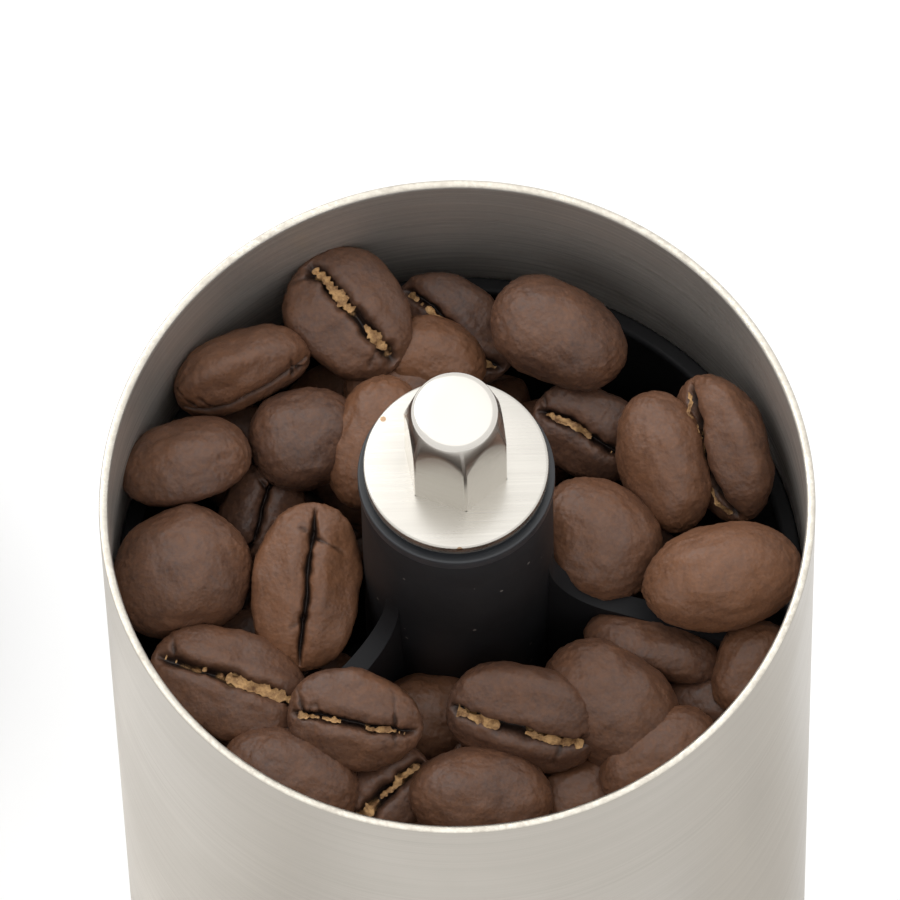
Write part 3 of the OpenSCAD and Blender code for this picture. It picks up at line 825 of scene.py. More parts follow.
@dataclass
class Hopper:
    """The black liner with its post and arms, the two bushes and the burr holder."""

    finishes: Finishes
    liner_wall: float = 1.2 * MM
    liner_drop: float = 13.7 * MM
    arm_thickness: float = 2.6 * MM
    arm_top_thickness: float = 1.1 * MM
    arm_count: int = 3
    arm_turn: float = -15.0
    arm_drop: float = 6.2 * MM
    arm_fillet: float = 4.4 * MM
    arm_depth: float = 14.0 * MM
    arm_tip: float = 11.0 * MM
    throat_rise: float = 2.0 * MM
    funnel: float = 14.7 * MM
    funnel_wall: float = 1.6 * MM
    segments: int = 180

    def liner(self, outer: float, foot: float, top: float) -> Mesh:
        """The liner's tube and funnel as one turned mesh."""
        inner = outer - self.liner_wall
        burr_high = size_of("outer_burr")[1]
        holder_high = size_of("burr_holder")[1]
        throat = burr_high.x - 2.8 * MM
        land = burr_high.x + 1.0 * MM
        skirt = outer - 1.82 * MM
        throat_z = burr_high.z + self.throat_rise
        slope = self.funnel / (inner - throat)
        under = self.funnel_wall * math.sqrt(1.0 + slope * slope)
        edge = 0.25 * MM
        corners = [
            (skirt, foot, edge), (outer, foot, edge), (outer, top, edge), (inner, top, edge * 1.6),
            (inner, throat_z + self.funnel, 4.0 * MM), (throat, throat_z, edge),
            (throat, holder_high.z, edge), (land, holder_high.z, edge),
            (land, throat_z + (land - throat) * slope - under, edge),
            (skirt, throat_z + (skirt - throat) * slope - under, edge)]
        return turned(soften(corners, steps=6), self.segments)

    def post(self, top: float, foot: float, radius: float) -> Mesh:
        """The post, with the bore that the shaft turns in and the bushes' pockets."""
        bush_low = size_of("upper_bush")[0]
        low_bush = size_of("lower_bush")
        shaft = 3.0 * MM
        pocket = shaft + 1.61 * MM
        bore = shaft + 0.4 * MM
        edge = 0.25 * MM
        corners = [
            (pocket, foot, 0.0), (radius, foot, edge), (radius, top, edge), (pocket, top, 0.0),
            (pocket, bush_low.z, 0.0), (bore, bush_low.z, 0.0), (bore, low_bush[1].z, 0.0),
            (pocket, low_bush[1].z, 0.0)]
        return turned(soften(corners), 96)

    def arm(self, post: float, liner_outer: float, liner_top: float, rim: float) -> Mesh:
        """One arm, falling from the post to the liner in a hollow curve, with rounded edges.

        It is as thick as the CAD's plain plate at its foot, and thins towards its top edge.
        """
        top = rim - self.arm_drop
        tip = liner_outer - self.liner_wall * 0.5
        outline = [(tip, liner_top - self.arm_tip), (tip, liner_top),
                   (tip - 1.6 * MM, liner_top + 1.2 * MM), (tip - 3.2 * MM, liner_top + 2.2 * MM)]
        for k in range(13):
            a = math.radians(270.0 - 90.0 * k / 12)
            outline.append((post + self.arm_fillet * (1 + math.cos(a)), top + self.arm_fillet * math.sin(a)))
        outline += [(post - 1.2 * MM, top), (post - 1.2 * MM, liner_top - self.arm_depth)]
        half = self.arm_thickness / 2
        bm = slab(outline, -half, half)
        foot = liner_top - self.arm_depth
        for v in bm.verts:
            share = (v.co.y - foot) / (top - foot)
            v.co.z *= 1.0 - share * (1.0 - self.arm_top_thickness / self.arm_thickness)
        eased(bm, 0.35 * MM, 3, 60.0)
        return moved(bm, Matrix.Rotation(math.pi / 2, 4, "X"))

    def frame_piece(self) -> None:
        """Builds the hopper frame: liner, post and arms in one closed piece."""
        low, high, _ = size_of("hopper_frame")
        rim = size_of("upper_shell")[1].z
        liner_top = rim - self.liner_drop
        post_foot = size_of("lower_bush")[0].z + 1.0 * MM
        radius = size_of("upper_bush")[1].x - 0.15 * MM
        parts = [self.liner(high.x, low.z, liner_top), self.post(high.z, post_foot, radius)]
        for i in range(self.arm_count):
            turn = math.radians(self.arm_turn + 360.0 * i / self.arm_count)
            arm = self.arm(radius, high.x, liner_top, rim)
            parts.append(moved(arm, Matrix.Rotation(turn, 4, "Z")))
        place("hopper_liner_moulded", combined("hopper", parts, "UNION"), "mill", ["hopper_frame"],
              "liner_black", [self.finishes.gloss_black], sharp=38.0)

    def bush(self, node: str, name: str, upwards: bool) -> None:
        """Builds one flanged bush; its collar has a turned edge that catches the light."""
        low, high, _ = size_of(node)
        collar = 1.0 * MM
        outer, bore, sleeve = high.x, 3.06 * MM, 4.56 * MM
        edge, tiny = 0.14 * MM, 0.10 * MM
        if upwards:
            corners = [(bore, low.z, tiny), (sleeve, low.z, tiny), (sleeve, high.z - collar, 0.0),
                       (outer, high.z - collar, tiny), (outer, high.z, edge), (bore, high.z, tiny)]
        else:
            corners = [(bore, high.z, tiny), (sleeve, high.z, tiny), (sleeve, low.z + collar, 0.0),
                       (outer, low.z + collar, tiny), (outer, low.z, edge), (bore, low.z, tiny)]
        place(name, turned(soften(corners), 128), "mill", [node], "bush_black",
              [self.finishes.bush_black])

    def holder(self) -> None:
        """Builds the burr holder from its CAD shape."""
        bm = cad_copy("burr_holder")
        place("burr_holder_moulded", bm, "mill", ["burr_holder"], "moulded_black",
              [self.finishes.matt_black])

    def build(self) -> None:
        """Builds the four pieces."""
        self.frame_piece()
        self.bush("upper_bush", "upper_bush_turned", True)
        self.bush("lower_bush", "lower_bush_turned", False)
        self.holder()


@dataclass
class Drive:
    """The shaft with its hexagonal head, the flange, washer, clip and spring."""

    finishes: Finishes
    across_flats: float = 6.15 * MM
    head_height: float = 8.35 * MM
    head_turn: float = 39.6
    head_edge: float = 0.16 * MM
    top_share: float = 0.925
    top_round: float = 0.45 * MM
    cone_depth: float = 3.2 * MM
    cone_lean: float = 14.0
    shaft: float = 3.0 * MM
    flange_edge: float = 0.14 * MM
    spring_turns: float = 7.0

    def head(self, base: float) -> Mesh:
        """The hexagonal head, its corners turned off by a steep cone under a flat round top.

        The CAD's head has a short neck over a chamfer there, within the upper 3.2 mm.
        """
        corner = self.across_flats / 2 / math.cos(math.radians(30.0))
        top = base + self.head_height
        six = [(corner * math.cos(math.radians(self.head_turn + 60.0 * k)),
                corner * math.sin(math.radians(self.head_turn + 60.0 * k)), self.head_edge)
               for k in range(6)]
        prism = slab(soften(six, steps=5), base, top + 1.0 * MM)
        flat = self.across_flats / 2 * self.top_share - self.top_round
        outline = [(0.0, base - 0.2 * MM), (corner + MM, base - 0.2 * MM),
                   (corner + MM, top - self.cone_depth * 2), (corner, top - self.cone_depth)]
        for k in range(9):
            a = math.radians(self.cone_lean + (90.0 - self.cone_lean) * k / 8)
            outline.append((flat + self.top_round * math.cos(a),
                            top - self.top_round * (1.0 - math.sin(a))))
        outline += [(flat * 0.5, top), (0.0, top)]
        return combined("head", [prism, turned(outline, 144)], "INTERSECT")

    def shaft_piece(self) -> None:
        """Builds the shaft under its head, with the clip's groove, the square end and the thread."""
        base = size_of("drive_shaft")[1].z - self.head_height
        body = cad_copy("drive_shaft")
        doomed = [f for f in body.faces if f.calc_center_median().z > base + 1e-5]
        bmesh.ops.delete(body, geom=doomed, context="FACES")
        rest = [e for e in body.edges if len(e.link_faces) == 1]
        bmesh.ops.holes_fill(body, edges=rest, sides=0)
        place("drive_shaft_turned", joined([body, self.head(base)]), "drive", ["drive_shaft"],
              "bright_steel", [self.finishes.head], sharp=30.0)

    def flange(self) -> None:
        """Builds the flange that the head stands on."""
        low, high, _ = size_of("drive_flange")
        hole = self.shaft + 0.02 * MM
        corners = [(hole, low.z, 0.0), (high.x, low.z, self.flange_edge),
                   (high.x, high.z, self.flange_edge * 1.4), (hole, high.z, 0.0)]
        place("drive_flange_turned", turned(soften(corners), 192), "drive", ["drive_flange"],
              "bright_steel", [self.finishes.bright])

    def small_parts(self) -> None:
        """Builds the thrust washer and the clip from their CAD shapes."""
        for node, name in (("thrust_washer", "thrust_washer_pressed"), ("shaft_clip", "shaft_clip_pressed")):
            bm = cad_copy(node)
            eased(bm, 0.06 * MM, 2)
            place(name, bm, "drive", [node], "spring_steel", [self.finishes.spring])

    def spring(self) -> None:
        """Winds the spring."""
        low, high, _ = size_of("burr_spring")
        wire = 0.8 * MM
        start = loose("spring_start", bmesh.new())
        bm = grown(start, coil_tree(), {
            "Radius": high.x - wire / 2, "Height": high.z - low.z - wire, "Turns": self.spring_turns,
            "Wire": wire / 2, "Foot": (0.0, 0.0, low.z + wire / 2), "Material": self.finishes.spring})
        bmesh.ops.remove_doubles(bm, verts=bm.verts, dist=1e-7)
        face_out(bm)
        place("burr_spring_wound", bm, "drive", ["burr_spring"], "spring_steel", [self.finishes.spring],
              sharp=60.0)

    def build(self) -> None:
        """Builds the five pieces."""
        self.shaft_piece()
        self.flange()
        self.small_parts()
        self.spring()


@dataclass
class BurrSet:
    """The ceramic burrs, the core that turns the inner one, and the dial under them."""

    finishes: Finishes
    ribs: int = 24
    rib: float = 0.9 * MM

    def burrs(self) -> None:
        """Dresses merged copies of the toothed burrs."""
        for node, name, body in (("outer_burr", "outer_burr_fired", "mill"),
                                 ("inner_burr", "inner_burr_fired", "burr")):
            place(name, cad_copy(node), body, [node], "burr_ceramic", [self.finishes.ceramic], sharp=28.0)

    def core(self) -> None:
        """Builds the core and the two washers from their CAD shapes, with eased edges."""
        rows = (("burr_core", "burr_core_moulded", "moulded_black", self.finishes.matt_black, 0.15),
                ("spring_seat", "spring_seat_pressed", "spring_steel", self.finishes.spring, 0.06),
                ("click_washer", "click_washer_pressed", "spring_steel", self.finishes.spring, 0.05))
        for node, name, slot, finish, ease in rows:
            bm = cad_copy(node)
            eased(bm, ease * MM, 2)
            place(name, bm, "burr", [node], slot, [finish])

    def dial(self) -> None:
        """Builds the dial: a turned hub and rim with ribs set around it for the fingers."""
        low, high, _ = size_of("adjusting_dial")
        rim_low = high.z - 4.0 * MM
        outer = high.x - 0.55 * MM
        hub, hole, edge = 7.4 * MM, 5.25 * MM, 0.35 * MM
        corners = [(hole, low.z, 0.1 * MM), (hub, low.z, edge), (hub, rim_low, edge),
                   (outer, rim_low, edge), (outer, high.z, edge), (hole, high.z, 0.1 * MM)]
        body = loose("dial_body", turned(soften(corners), 144))
        bm = grown(body, ribs_tree(), {
            "Count": self.ribs, "Radius": outer - self.rib * 0.35, "Rib": self.rib,
            "Length": (high.z - rim_low) - 0.7 * MM, "Middle": (0.0, 0.0, (high.z + rim_low) / 2),
            "Material": self.finishes.matt_black})
        place("adjusting_dial_moulded", bm, "dial", ["adjusting_dial"], "moulded_black",
              [self.finishes.matt_black])

    def nut(self) -> None:
        """Builds the brass nut in the dial."""
        bm = cad_copy("dial_nut")
        eased(bm, 0.15 * MM, 2)
        place("dial_nut_turned", bm, "dial", ["dial_nut"], "nut_brass", [self.finishes.brass])

    def build(self) -> None:
        """Builds the seven pieces."""
        self.burrs()
        self.core()
        self.dial()
        self.nut()


@dataclass
class Lid:
    """The steel lid and its moulded plug, laid on the table."""

    finishes: Finishes
    wall: float = 0.6 * MM
    shoulder: float = 1.4 * MM
    flat: float = 2.4 * MM
    skirt: float = 3.2 * MM
    insert_wall: float = 1.3 * MM
    segments: int = 288

    def plate(self) -> None:
        """Builds the lid's steel top, pressed with a raised ring around its hole."""
        low, high, middle = size_of("lid_plate")
        outer = (high.x - low.x) / 2
        hole = 6.7 * MM
        top = low.z + self.skirt
        lip = 0.18 * MM
        inner = outer - self.wall
        corners = [
            (inner, low.z, lip), (outer, low.z, lip), (outer, top, self.shoulder),
            (hole + self.flat, high.z, 1.2 * MM), (hole, high.z, lip), (hole, high.z - self.wall, lip),
            (hole + self.flat, high.z - self.wall, 1.2 * MM), (inner, top - self.wall, self.shoulder)]
        place("lid_plate_pressed", turned(soften(corners, steps=7), self.segments, (middle.x, middle.y)),
              "lid", ["lid_plate"], "satin_steel", [self.finishes.lid_top])

    def plug(self) -> None:
        """Builds the plug that fits the shell's mouth."""
        low, high, middle = size_of("lid_insert")
        plate_low = size_of("lid_plate")[0].z
        outer = size_of("lid_plate")[1].x - middle.x - self.wall
        plug = outer - 0.12 * MM
        bore = plug - 1.5 * MM
        hole = 7.3 * MM
        flat = 6.7 * MM + self.flat
        top = plate_low + self.skirt - self.wall
        tuck = 0.05 * MM
        edge = 0.3 * MM
        corners = [
            (bore, low.z, edge), (plug, low.z, edge * 1.6), (plug, plate_low, 0.0),
            (outer - tuck, plate_low, 0.0), (outer - tuck, top - tuck, self.shoulder * 0.7),
            (flat, high.z, 1.2 * MM), (hole, high.z, edge), (hole, high.z - self.insert_wall, edge),
            (flat, high.z - self.insert_wall, 1.2 * MM), (bore, plate_low + 1.6 * MM, edge * 2)]
        place("lid_plug_moulded", turned(soften(corners, steps=5), self.segments, (middle.x, middle.y)),
              "lid", ["lid_insert"], "liner_black", [self.finishes.gloss_black])

    def build(self) -> None:
        """Builds both pieces."""
        self.plate()
        self.plug()


@dataclass
class Crank:
    """The crank's arm, socket, pin and knob, laid tipped on the table."""

    finishes: Finishes
    throw: float = 115.0 * MM
    width: float = 14.0 * MM
    thickness: float = 2.0 * MM
    socket_height: float = 9.2 * MM
    socket_radius: float = 6.5 * MM
    socket_depth: float = 8.0 * MM
    across_flats: float = 6.15 * MM
    peen: float = 0.9 * MM
    knob_height: float = 25.0 * MM
    knob_radius: float = 10.5 * MM
    tail_radius: float = 3.4 * MM
    tail_height: float = 0.9 * MM
    lay: Matrix = field(init=False)

    def __post_init__(self) -> None:
        """Works out how the crank lies, from the joint that its knob turns on."""
        span = self.throw + self.tail_radius - self.socket_radius
        tilt = math.atan((self.socket_height - self.tail_height) / span)
        knob = next(j for j in frame["joints"] if j["name"] == "knob_spin")
        x = knob["pos_m"][0]
        start = Matrix.Translation((x, -self.throw / 2, 0.0)) @ Matrix.Rotation(math.pi / 2, 4, "Z")
        tip = (Matrix.Translation((self.socket_radius, 0.0, 0.0)) @ Matrix.Rotation(tilt, 4, "Y")
               @ Matrix.Translation((-self.socket_radius, 0.0, 0.0)))
        self.lay = start @ tip

    @property
    def arm_top(self) -> float:
        """Height of the arm's upper face above the socket's mouth."""
        return self.socket_height + self.thickness

    @property
    def knob_foot(self) -> float:
        """Height of the knob's foot above the socket's mouth."""
        return self.arm_top + 0.66 * MM

    def put(self, name: str, bm: Mesh, node: str, slot: str,
            finish: Material, body: str = "crank", sharp: float = 32.0) -> None:
        """Lays a piece down with the crank and places it."""
        place(name, moved(bm, self.lay), body, [node], slot, [finish], sharp)

    def at_knob(self, bm: Mesh, height: float = 0.0) -> None:
        """Moves a mesh out along the arm to the knob's axis, and up."""
        moved(bm, Matrix.Translation((self.throw, 0.0, height)))

    def arm(self) -> None:
        """Builds the flat arm, a little narrower in its middle, with eased edges and two holes."""
        half, steps = self.width / 2, 28
        outline: list[Point] = []
        for centre, start in ((0.0, 90.0), (self.throw, -90.0)):
            for k in range(steps + 1):
                a = math.radians(start + 180.0 * k / steps)
                outline.append((centre + half * math.cos(a), half * math.sin(a)))
            side = 1.0 if centre else -1.0
            for k in range(1, 12):
                t = k / 12
                x = self.throw * (1 - t if centre else t)
                outline.append((x, side * (half - 1.0 * MM * math.sin(math.pi * t) ** 2)))
        plate = slab(outline, self.socket_height, self.arm_top)
        eased(plate, 0.35 * MM, 4, 60.0)
        cuts = []
        for x, r in ((0.0, 3.02 * MM), (self.throw, 2.02 * MM)):
            hole = turned([(0.0, self.socket_height - MM), (r, self.socket_height - MM),
                           (r, self.arm_top + MM), (0.0, self.arm_top + MM)], 64)
            cuts.append(moved(hole, Matrix.Translation((x, 0.0, 0.0))))
        bm = combined("arm", [plate, *cuts], "DIFFERENCE")
        self.put("crank_arm_pressed", bm, "crank_arm", "satin_steel", self.finishes.arm)

    def socket(self) -> None:
        """Builds the socket block with its hexagonal hole and its peened tail."""
        edge = 0.5 * MM
        top = self.arm_top + self.peen
        block = turned(soften([
            (0.0, 0.0, 0.0), (self.socket_radius, 0.0, edge), (self.socket_radius, self.socket_height, edge),
            (3.0 * MM, self.socket_height, 0.0), (3.0 * MM, self.arm_top, 0.0),
            (4.2 * MM, self.arm_top, 0.15 * MM), (3.7 * MM, top, 0.7 * MM), (0.0, top, 0.0)],
            steps=6, closed=False), 128)
        corner = self.across_flats / 2 / math.cos(math.radians(30.0)) + 0.1 * MM
        six = [(corner * math.cos(math.radians(60.0 * k)), corner * math.sin(math.radians(60.0 * k)))
               for k in range(6)]
        hole = slab(six, -MM, self.socket_depth)
        flare = turned([(0.0, -0.5 * MM), (corner + 0.9 * MM, -0.5 * MM), (corner - 0.5 * MM, 0.9 * MM),
                        (0.0, 0.9 * MM)], 96)
        bm = combined("socket", [block, hole, flare], "DIFFERENCE")
        self.put("crank_socket_turned", bm, "crank_socket", "bright_steel", self.finishes.bright, sharp=28.0)

    def pin(self) -> None:
        """Builds the knob's pin: a riveted tail, a shoulder and a flat head inside the knob."""
        low = self.socket_height - self.tail_height
        head = self.knob_foot + self.knob_height - 2.4 * MM
        bm = turned(soften([
            (0.0, low, 0.0), (self.tail_radius - 0.4 * MM, low, 0.5 * MM),
            (self.tail_radius, self.socket_height, 0.1 * MM), (2.0 * MM, self.socket_height, 0.0),
            (2.0 * MM, self.arm_top, 0.0), (2.5 * MM, self.arm_top, 0.0), (2.5 * MM, head - 1.2 * MM, 0.0),
            (4.0 * MM, head - 1.2 * MM, 0.15 * MM), (4.0 * MM, head, 0.3 * MM), (0.0, head, 0.0)],
            closed=False), 72)
        self.at_knob(bm)
        self.put("knob_pin_turned", bm, "knob_pin", "bright_steel", self.finishes.bright)
        ring = turned(soften([
            (2.52 * MM, self.arm_top, 0.0), (6.0 * MM, self.arm_top, 0.1 * MM),
            (6.0 * MM, self.arm_top + 0.6 * MM, 0.12 * MM), (2.52 * MM, self.arm_top + 0.6 * MM, 0.0)]), 96)
        self.at_knob(ring)
        self.put("knob_washer_pressed", ring, "knob_washer", "spring_steel", self.finishes.spring)

    def knob(self) -> None:
        """Builds the knob: a foot, a hollow waist and a round head, bored for its pin."""
        h, r = self.knob_height, self.knob_radius
        crown = h - r * math.sin(math.radians(46.0))
        outline = soften([
            (2.56 * MM, 0.0, 0.2 * MM), (6.4 * MM, 0.0, 0.6 * MM), (6.4 * MM, 2.4 * MM, 0.7 * MM),
            (5.6 * MM, 4.6 * MM, 2.0 * MM)], steps=6, closed=False)
        outline += [(r * math.cos(math.radians(-52.0 + 98.0 * k / 32)),
                     crown + r * math.sin(math.radians(-52.0 + 98.0 * k / 32))) for k in range(32)]
        head = h - 2.4 * MM - 1.2 * MM - 0.1 * MM
        outline += soften([
            (6.6 * MM, h, 0.5 * MM), (5.25 * MM, h, 0.2 * MM), (5.25 * MM, h - 1.4 * MM, 0.0),
            (4.12 * MM, h - 1.4 * MM, 0.0), (4.12 * MM, head, 0.0), (2.56 * MM, head, 0.0)], closed=False)
        bm = turned(outline, 160)
        self.at_knob(bm, self.knob_foot)
        self.put("crank_knob_moulded", bm, "crank_knob", "moulded_black", self.finishes.matt_black, "knob")
        cap = turned(soften([
            (0.0, h - 1.4 * MM, 0.0), (5.2 * MM, h - 1.4 * MM, 0.1 * MM),
            (5.2 * MM, h - 0.35 * MM, 0.35 * MM), (4.4 * MM, h, 0.5 * MM), (0.0, h, 0.0)],
            steps=6, closed=False), 128)
        self.at_knob(cap, self.knob_foot)
        self.put("knob_cap_turned", cap, "knob_cap", "bright_steel", self.finishes.bright, "knob")

    def build(self) -> None:
        """Builds the six pieces."""
        self.arm()
        self.socket()
        self.pin()
        self.knob()


# ---------------------------------------------------------------------------------------------
# The beans in the hopper, which are contents and not part of the grinder
# ---------------------------------------------------------------------------------------------


@dataclass(frozen=True)
class Bean:
    """One bean: its middle from the shell's axis and rim, how it lies, and its own shape, in mm."""

    x: float
    y: float
    depth: float
    turn: float
    roll: float
    length: float
    width: float
    chaff: float = 0.0
    tip: float = 0.0
    tone: float = 0.5
    gape: float = 0.0
    cracks: int = 0


SHOWN_BEANS = (
    Bean(-6.7, 17.55, 8.0, -50, -8, 9.3, 7.8, 1.0, tone=0.35, gape=1.0, cracks=2),
    Bean(0.2, 18.0, 11.5, -40, 15, 9.0, 6.0, 0.55, tone=0.15, gape=0.5),
    Bean(7.1, 15.7, 8.0, -30, 172, 9.6, 6.9, 0.10, tone=0.30),
    Bean(-14.0, 13.6, 8.5, 20, 62, 9.4, 6.6, 0.10, tone=0.65, cracks=4),
    Bean(-9.8, 9.5, 10.0, 10, 176, 7.8, 6.9, 0.0, tone=0.25, cracks=1),
    Bean(-17.9, 7.2, 9.0, 12, 118, 8.9, 7.0, 0.6, tone=0.40, gape=0.6),
    Bean(-13.1, 5.5, 13.0, 65, 5, 7.0, 5.4, 0.1, tone=0.30, cracks=2),
    Bean(-10.1, -1.5, 9.5, 82, 2, 11.2, 7.4, 0.05, tone=1.0, gape=0.1, cracks=4),
    Bean(-18.35, -0.1, 10.0, 24, 180, 9.5, 8.5, tone=0.45),
    Bean(-15.3, -7.7, 11.0, -22, -14, 11.0, 7.3, 1.0, tone=0.50, gape=0.7, cracks=1),
    Bean(-7.1, -11.0, 10.0, -10, 10, 9.0, 6.7, 0.5, tone=0.45, gape=0.3, cracks=5),
    Bean(-11.5, -13.9, 12.5, -24, 178, 9.4, 6.5, tone=0.45),
    Bean(-5.3, -14.6, 14.0, 35, 0, 7.2, 5.6, 0.9, tone=0.35, gape=0.8),
    Bean(1.0, -15.2, 13.5, -5, 182, 9.6, 6.6, tone=0.50),
    Bean(3.9, -10.85, 11.0, -16, 30, 10.2, 7.6, 0.85, tone=0.30, gape=0.5, cracks=2),
    Bean(9.8, -9.6, 12.0, -42, 180, 10.2, 7.6, tone=0.45),
    Bean(12.8, -12.95, 13.0, 32, 180, 8.6, 6.0, tone=0.70),
    Bean(12.7, -5.4, 13.0, -18, 100, 9.6, 5.4, 0.05, tone=0.40),
    Bean(17.35, -2.3, 8.0, 8, 180, 10.7, 7.0, tone=0.95),
    Bean(9.2, 1.6, 10.0, -35, 174, 8.9, 7.7, tone=0.60, cracks=1),
    Bean(13.85, 6.5, 8.8, 104, 152, 9.6, 6.2, tone=0.70, cracks=2),
    Bean(17.6, 7.2, 8.5, 108, -46, 10.2, 6.8, 0.7, tone=0.50, gape=0.3),
    Bean(8.9, 10.3, 12.0, -25, 10, 8.0, 6.2, 0.5, tone=0.20, gape=0.4, cracks=2),
    Bean(-5.3, 8.8, 9.5, 72, 180, 9.2, 6.2, tone=0.95),
    Bean(-3.8, 13.9, 12.0, 0, 150, 7.2, 5.8, tone=0.60, cracks=2),
    Bean(-1.5, 15.6, 11.0, -20, 180, 7.6, 5.6, tone=1.0),
    Bean(19.1, -6.9, 12.5, 58, 180, 6.6, 5.0, tone=0.80),
    Bean(16.6, -8.0, 15.0, 20, 170, 7.2, 5.2, tone=0.40),
    Bean(7.9, -14.1, 16.0, 25, 180, 7.8, 5.6, tone=0.70),
    Bean(-0.4, -15.9, 16.5, 0, 180, 7.8, 5.6, tone=0.55),
    Bean(-2.2, -8.4, 16.0, 5, 180, 7.8, 5.8, tone=0.75),
    Bean(5.9, -12.3, 18.0, 70, 180, 7.2, 5.8, tone=0.30),
)


@dataclass(frozen=True)
class Roast:
    """The finish of a roasted bean, with golden chaff in its crease and painted shade darkening the crease
    and cracks.
    """

    pale: Colour = (0.200, 0.088, 0.042)
    dark: Colour = (0.066, 0.036, 0.027)
    # Near-black colour of the painted shade in the crease and cracks.
    crease_shade: Colour = (0.018, 0.009, 0.006)
    chaff: Colour = (0.56, 0.335, 0.145)
    chaff_deep: Colour = (0.15, 0.070, 0.028)

    def build(self) -> Material:
        """Builds the material, which reads the tone, painted crease shade and chaff of each point of a bean.
        """
        material, tree, shader = new_material("roasted_bean")
        at = tree.add("ShaderNodeTexCoord").outputs["Object"]
        reads = {n: tree.add("ShaderNodeAttribute", attribute_name=n).outputs["Fac"]
                 for n in ("tone", "crease_shade", "chaff")}
        slow = tree.add("ShaderNodeTexNoise", {"Vector": at, "Scale": 330.0, "Detail": 4.0,
                                               "Roughness": 0.6}).outputs["Fac"]
        fine = tree.add("ShaderNodeTexNoise", {"Vector": at, "Scale": 2600.0, "Detail": 4.0,
                                               "Roughness": 0.7}).outputs["Fac"]
        pits = tree.add("ShaderNodeTexVoronoi", {"Vector": at, "Scale": 3400.0}).outputs["Distance"]
        lit = tree.maths("ADD", tree.maths("MULTIPLY", tree.ranged(slow, 0.3, 0.7), 0.35),
                         tree.maths("MULTIPLY", reads["tone"], 0.60))
        mottled = tree.maths("ADD", lit, tree.maths("MULTIPLY", tree.maths("SUBTRACT", fine, 0.5), 1.1),
                             clamp=True)
        skin = tree.mixed(mottled, self.dark, self.pale)
        # Painted shade: the skin is mixed towards near black along the crease and cracks.
        skin = tree.mixed(reads["crease_shade"], skin, self.crease_shade)
        torn = tree.add("ShaderNodeTexNoise", {"Vector": at, "Scale": 1500.0, "Detail": 5.0,
                                               "Roughness": 0.7}).outputs["Fac"]
        leaf = tree.mixed(tree.ranged(torn, 0.35, 0.62), self.chaff_deep, self.chaff)
        shown = tree.ranged(tree.maths("ADD", reads["chaff"], tree.maths("MULTIPLY", torn, 0.55)), 0.72, 0.84)
        colour = tree.mixed(shown, skin, leaf)
        tree.link(colour, shader.inputs["Base Color"])
        rough = tree.maths("ADD", tree.ranged(fine, 0.3, 0.7, 0.36, 0.54),
                           tree.maths("MULTIPLY", shown, 0.3), clamp=True)
        tree.link(rough, shader.inputs["Roughness"])
        shader.inputs["Specular IOR Level"].default_value = 0.42
        height = tree.maths("ADD", tree.maths("MULTIPLY", fine, 0.7), tree.maths("MULTIPLY", pits, 0.5))
        height = tree.maths("ADD", height, tree.maths("MULTIPLY", tree.maths("MULTIPLY", torn, shown), 2.5))
        give_bump(tree, shader, height, 5.5e-5)
        return material


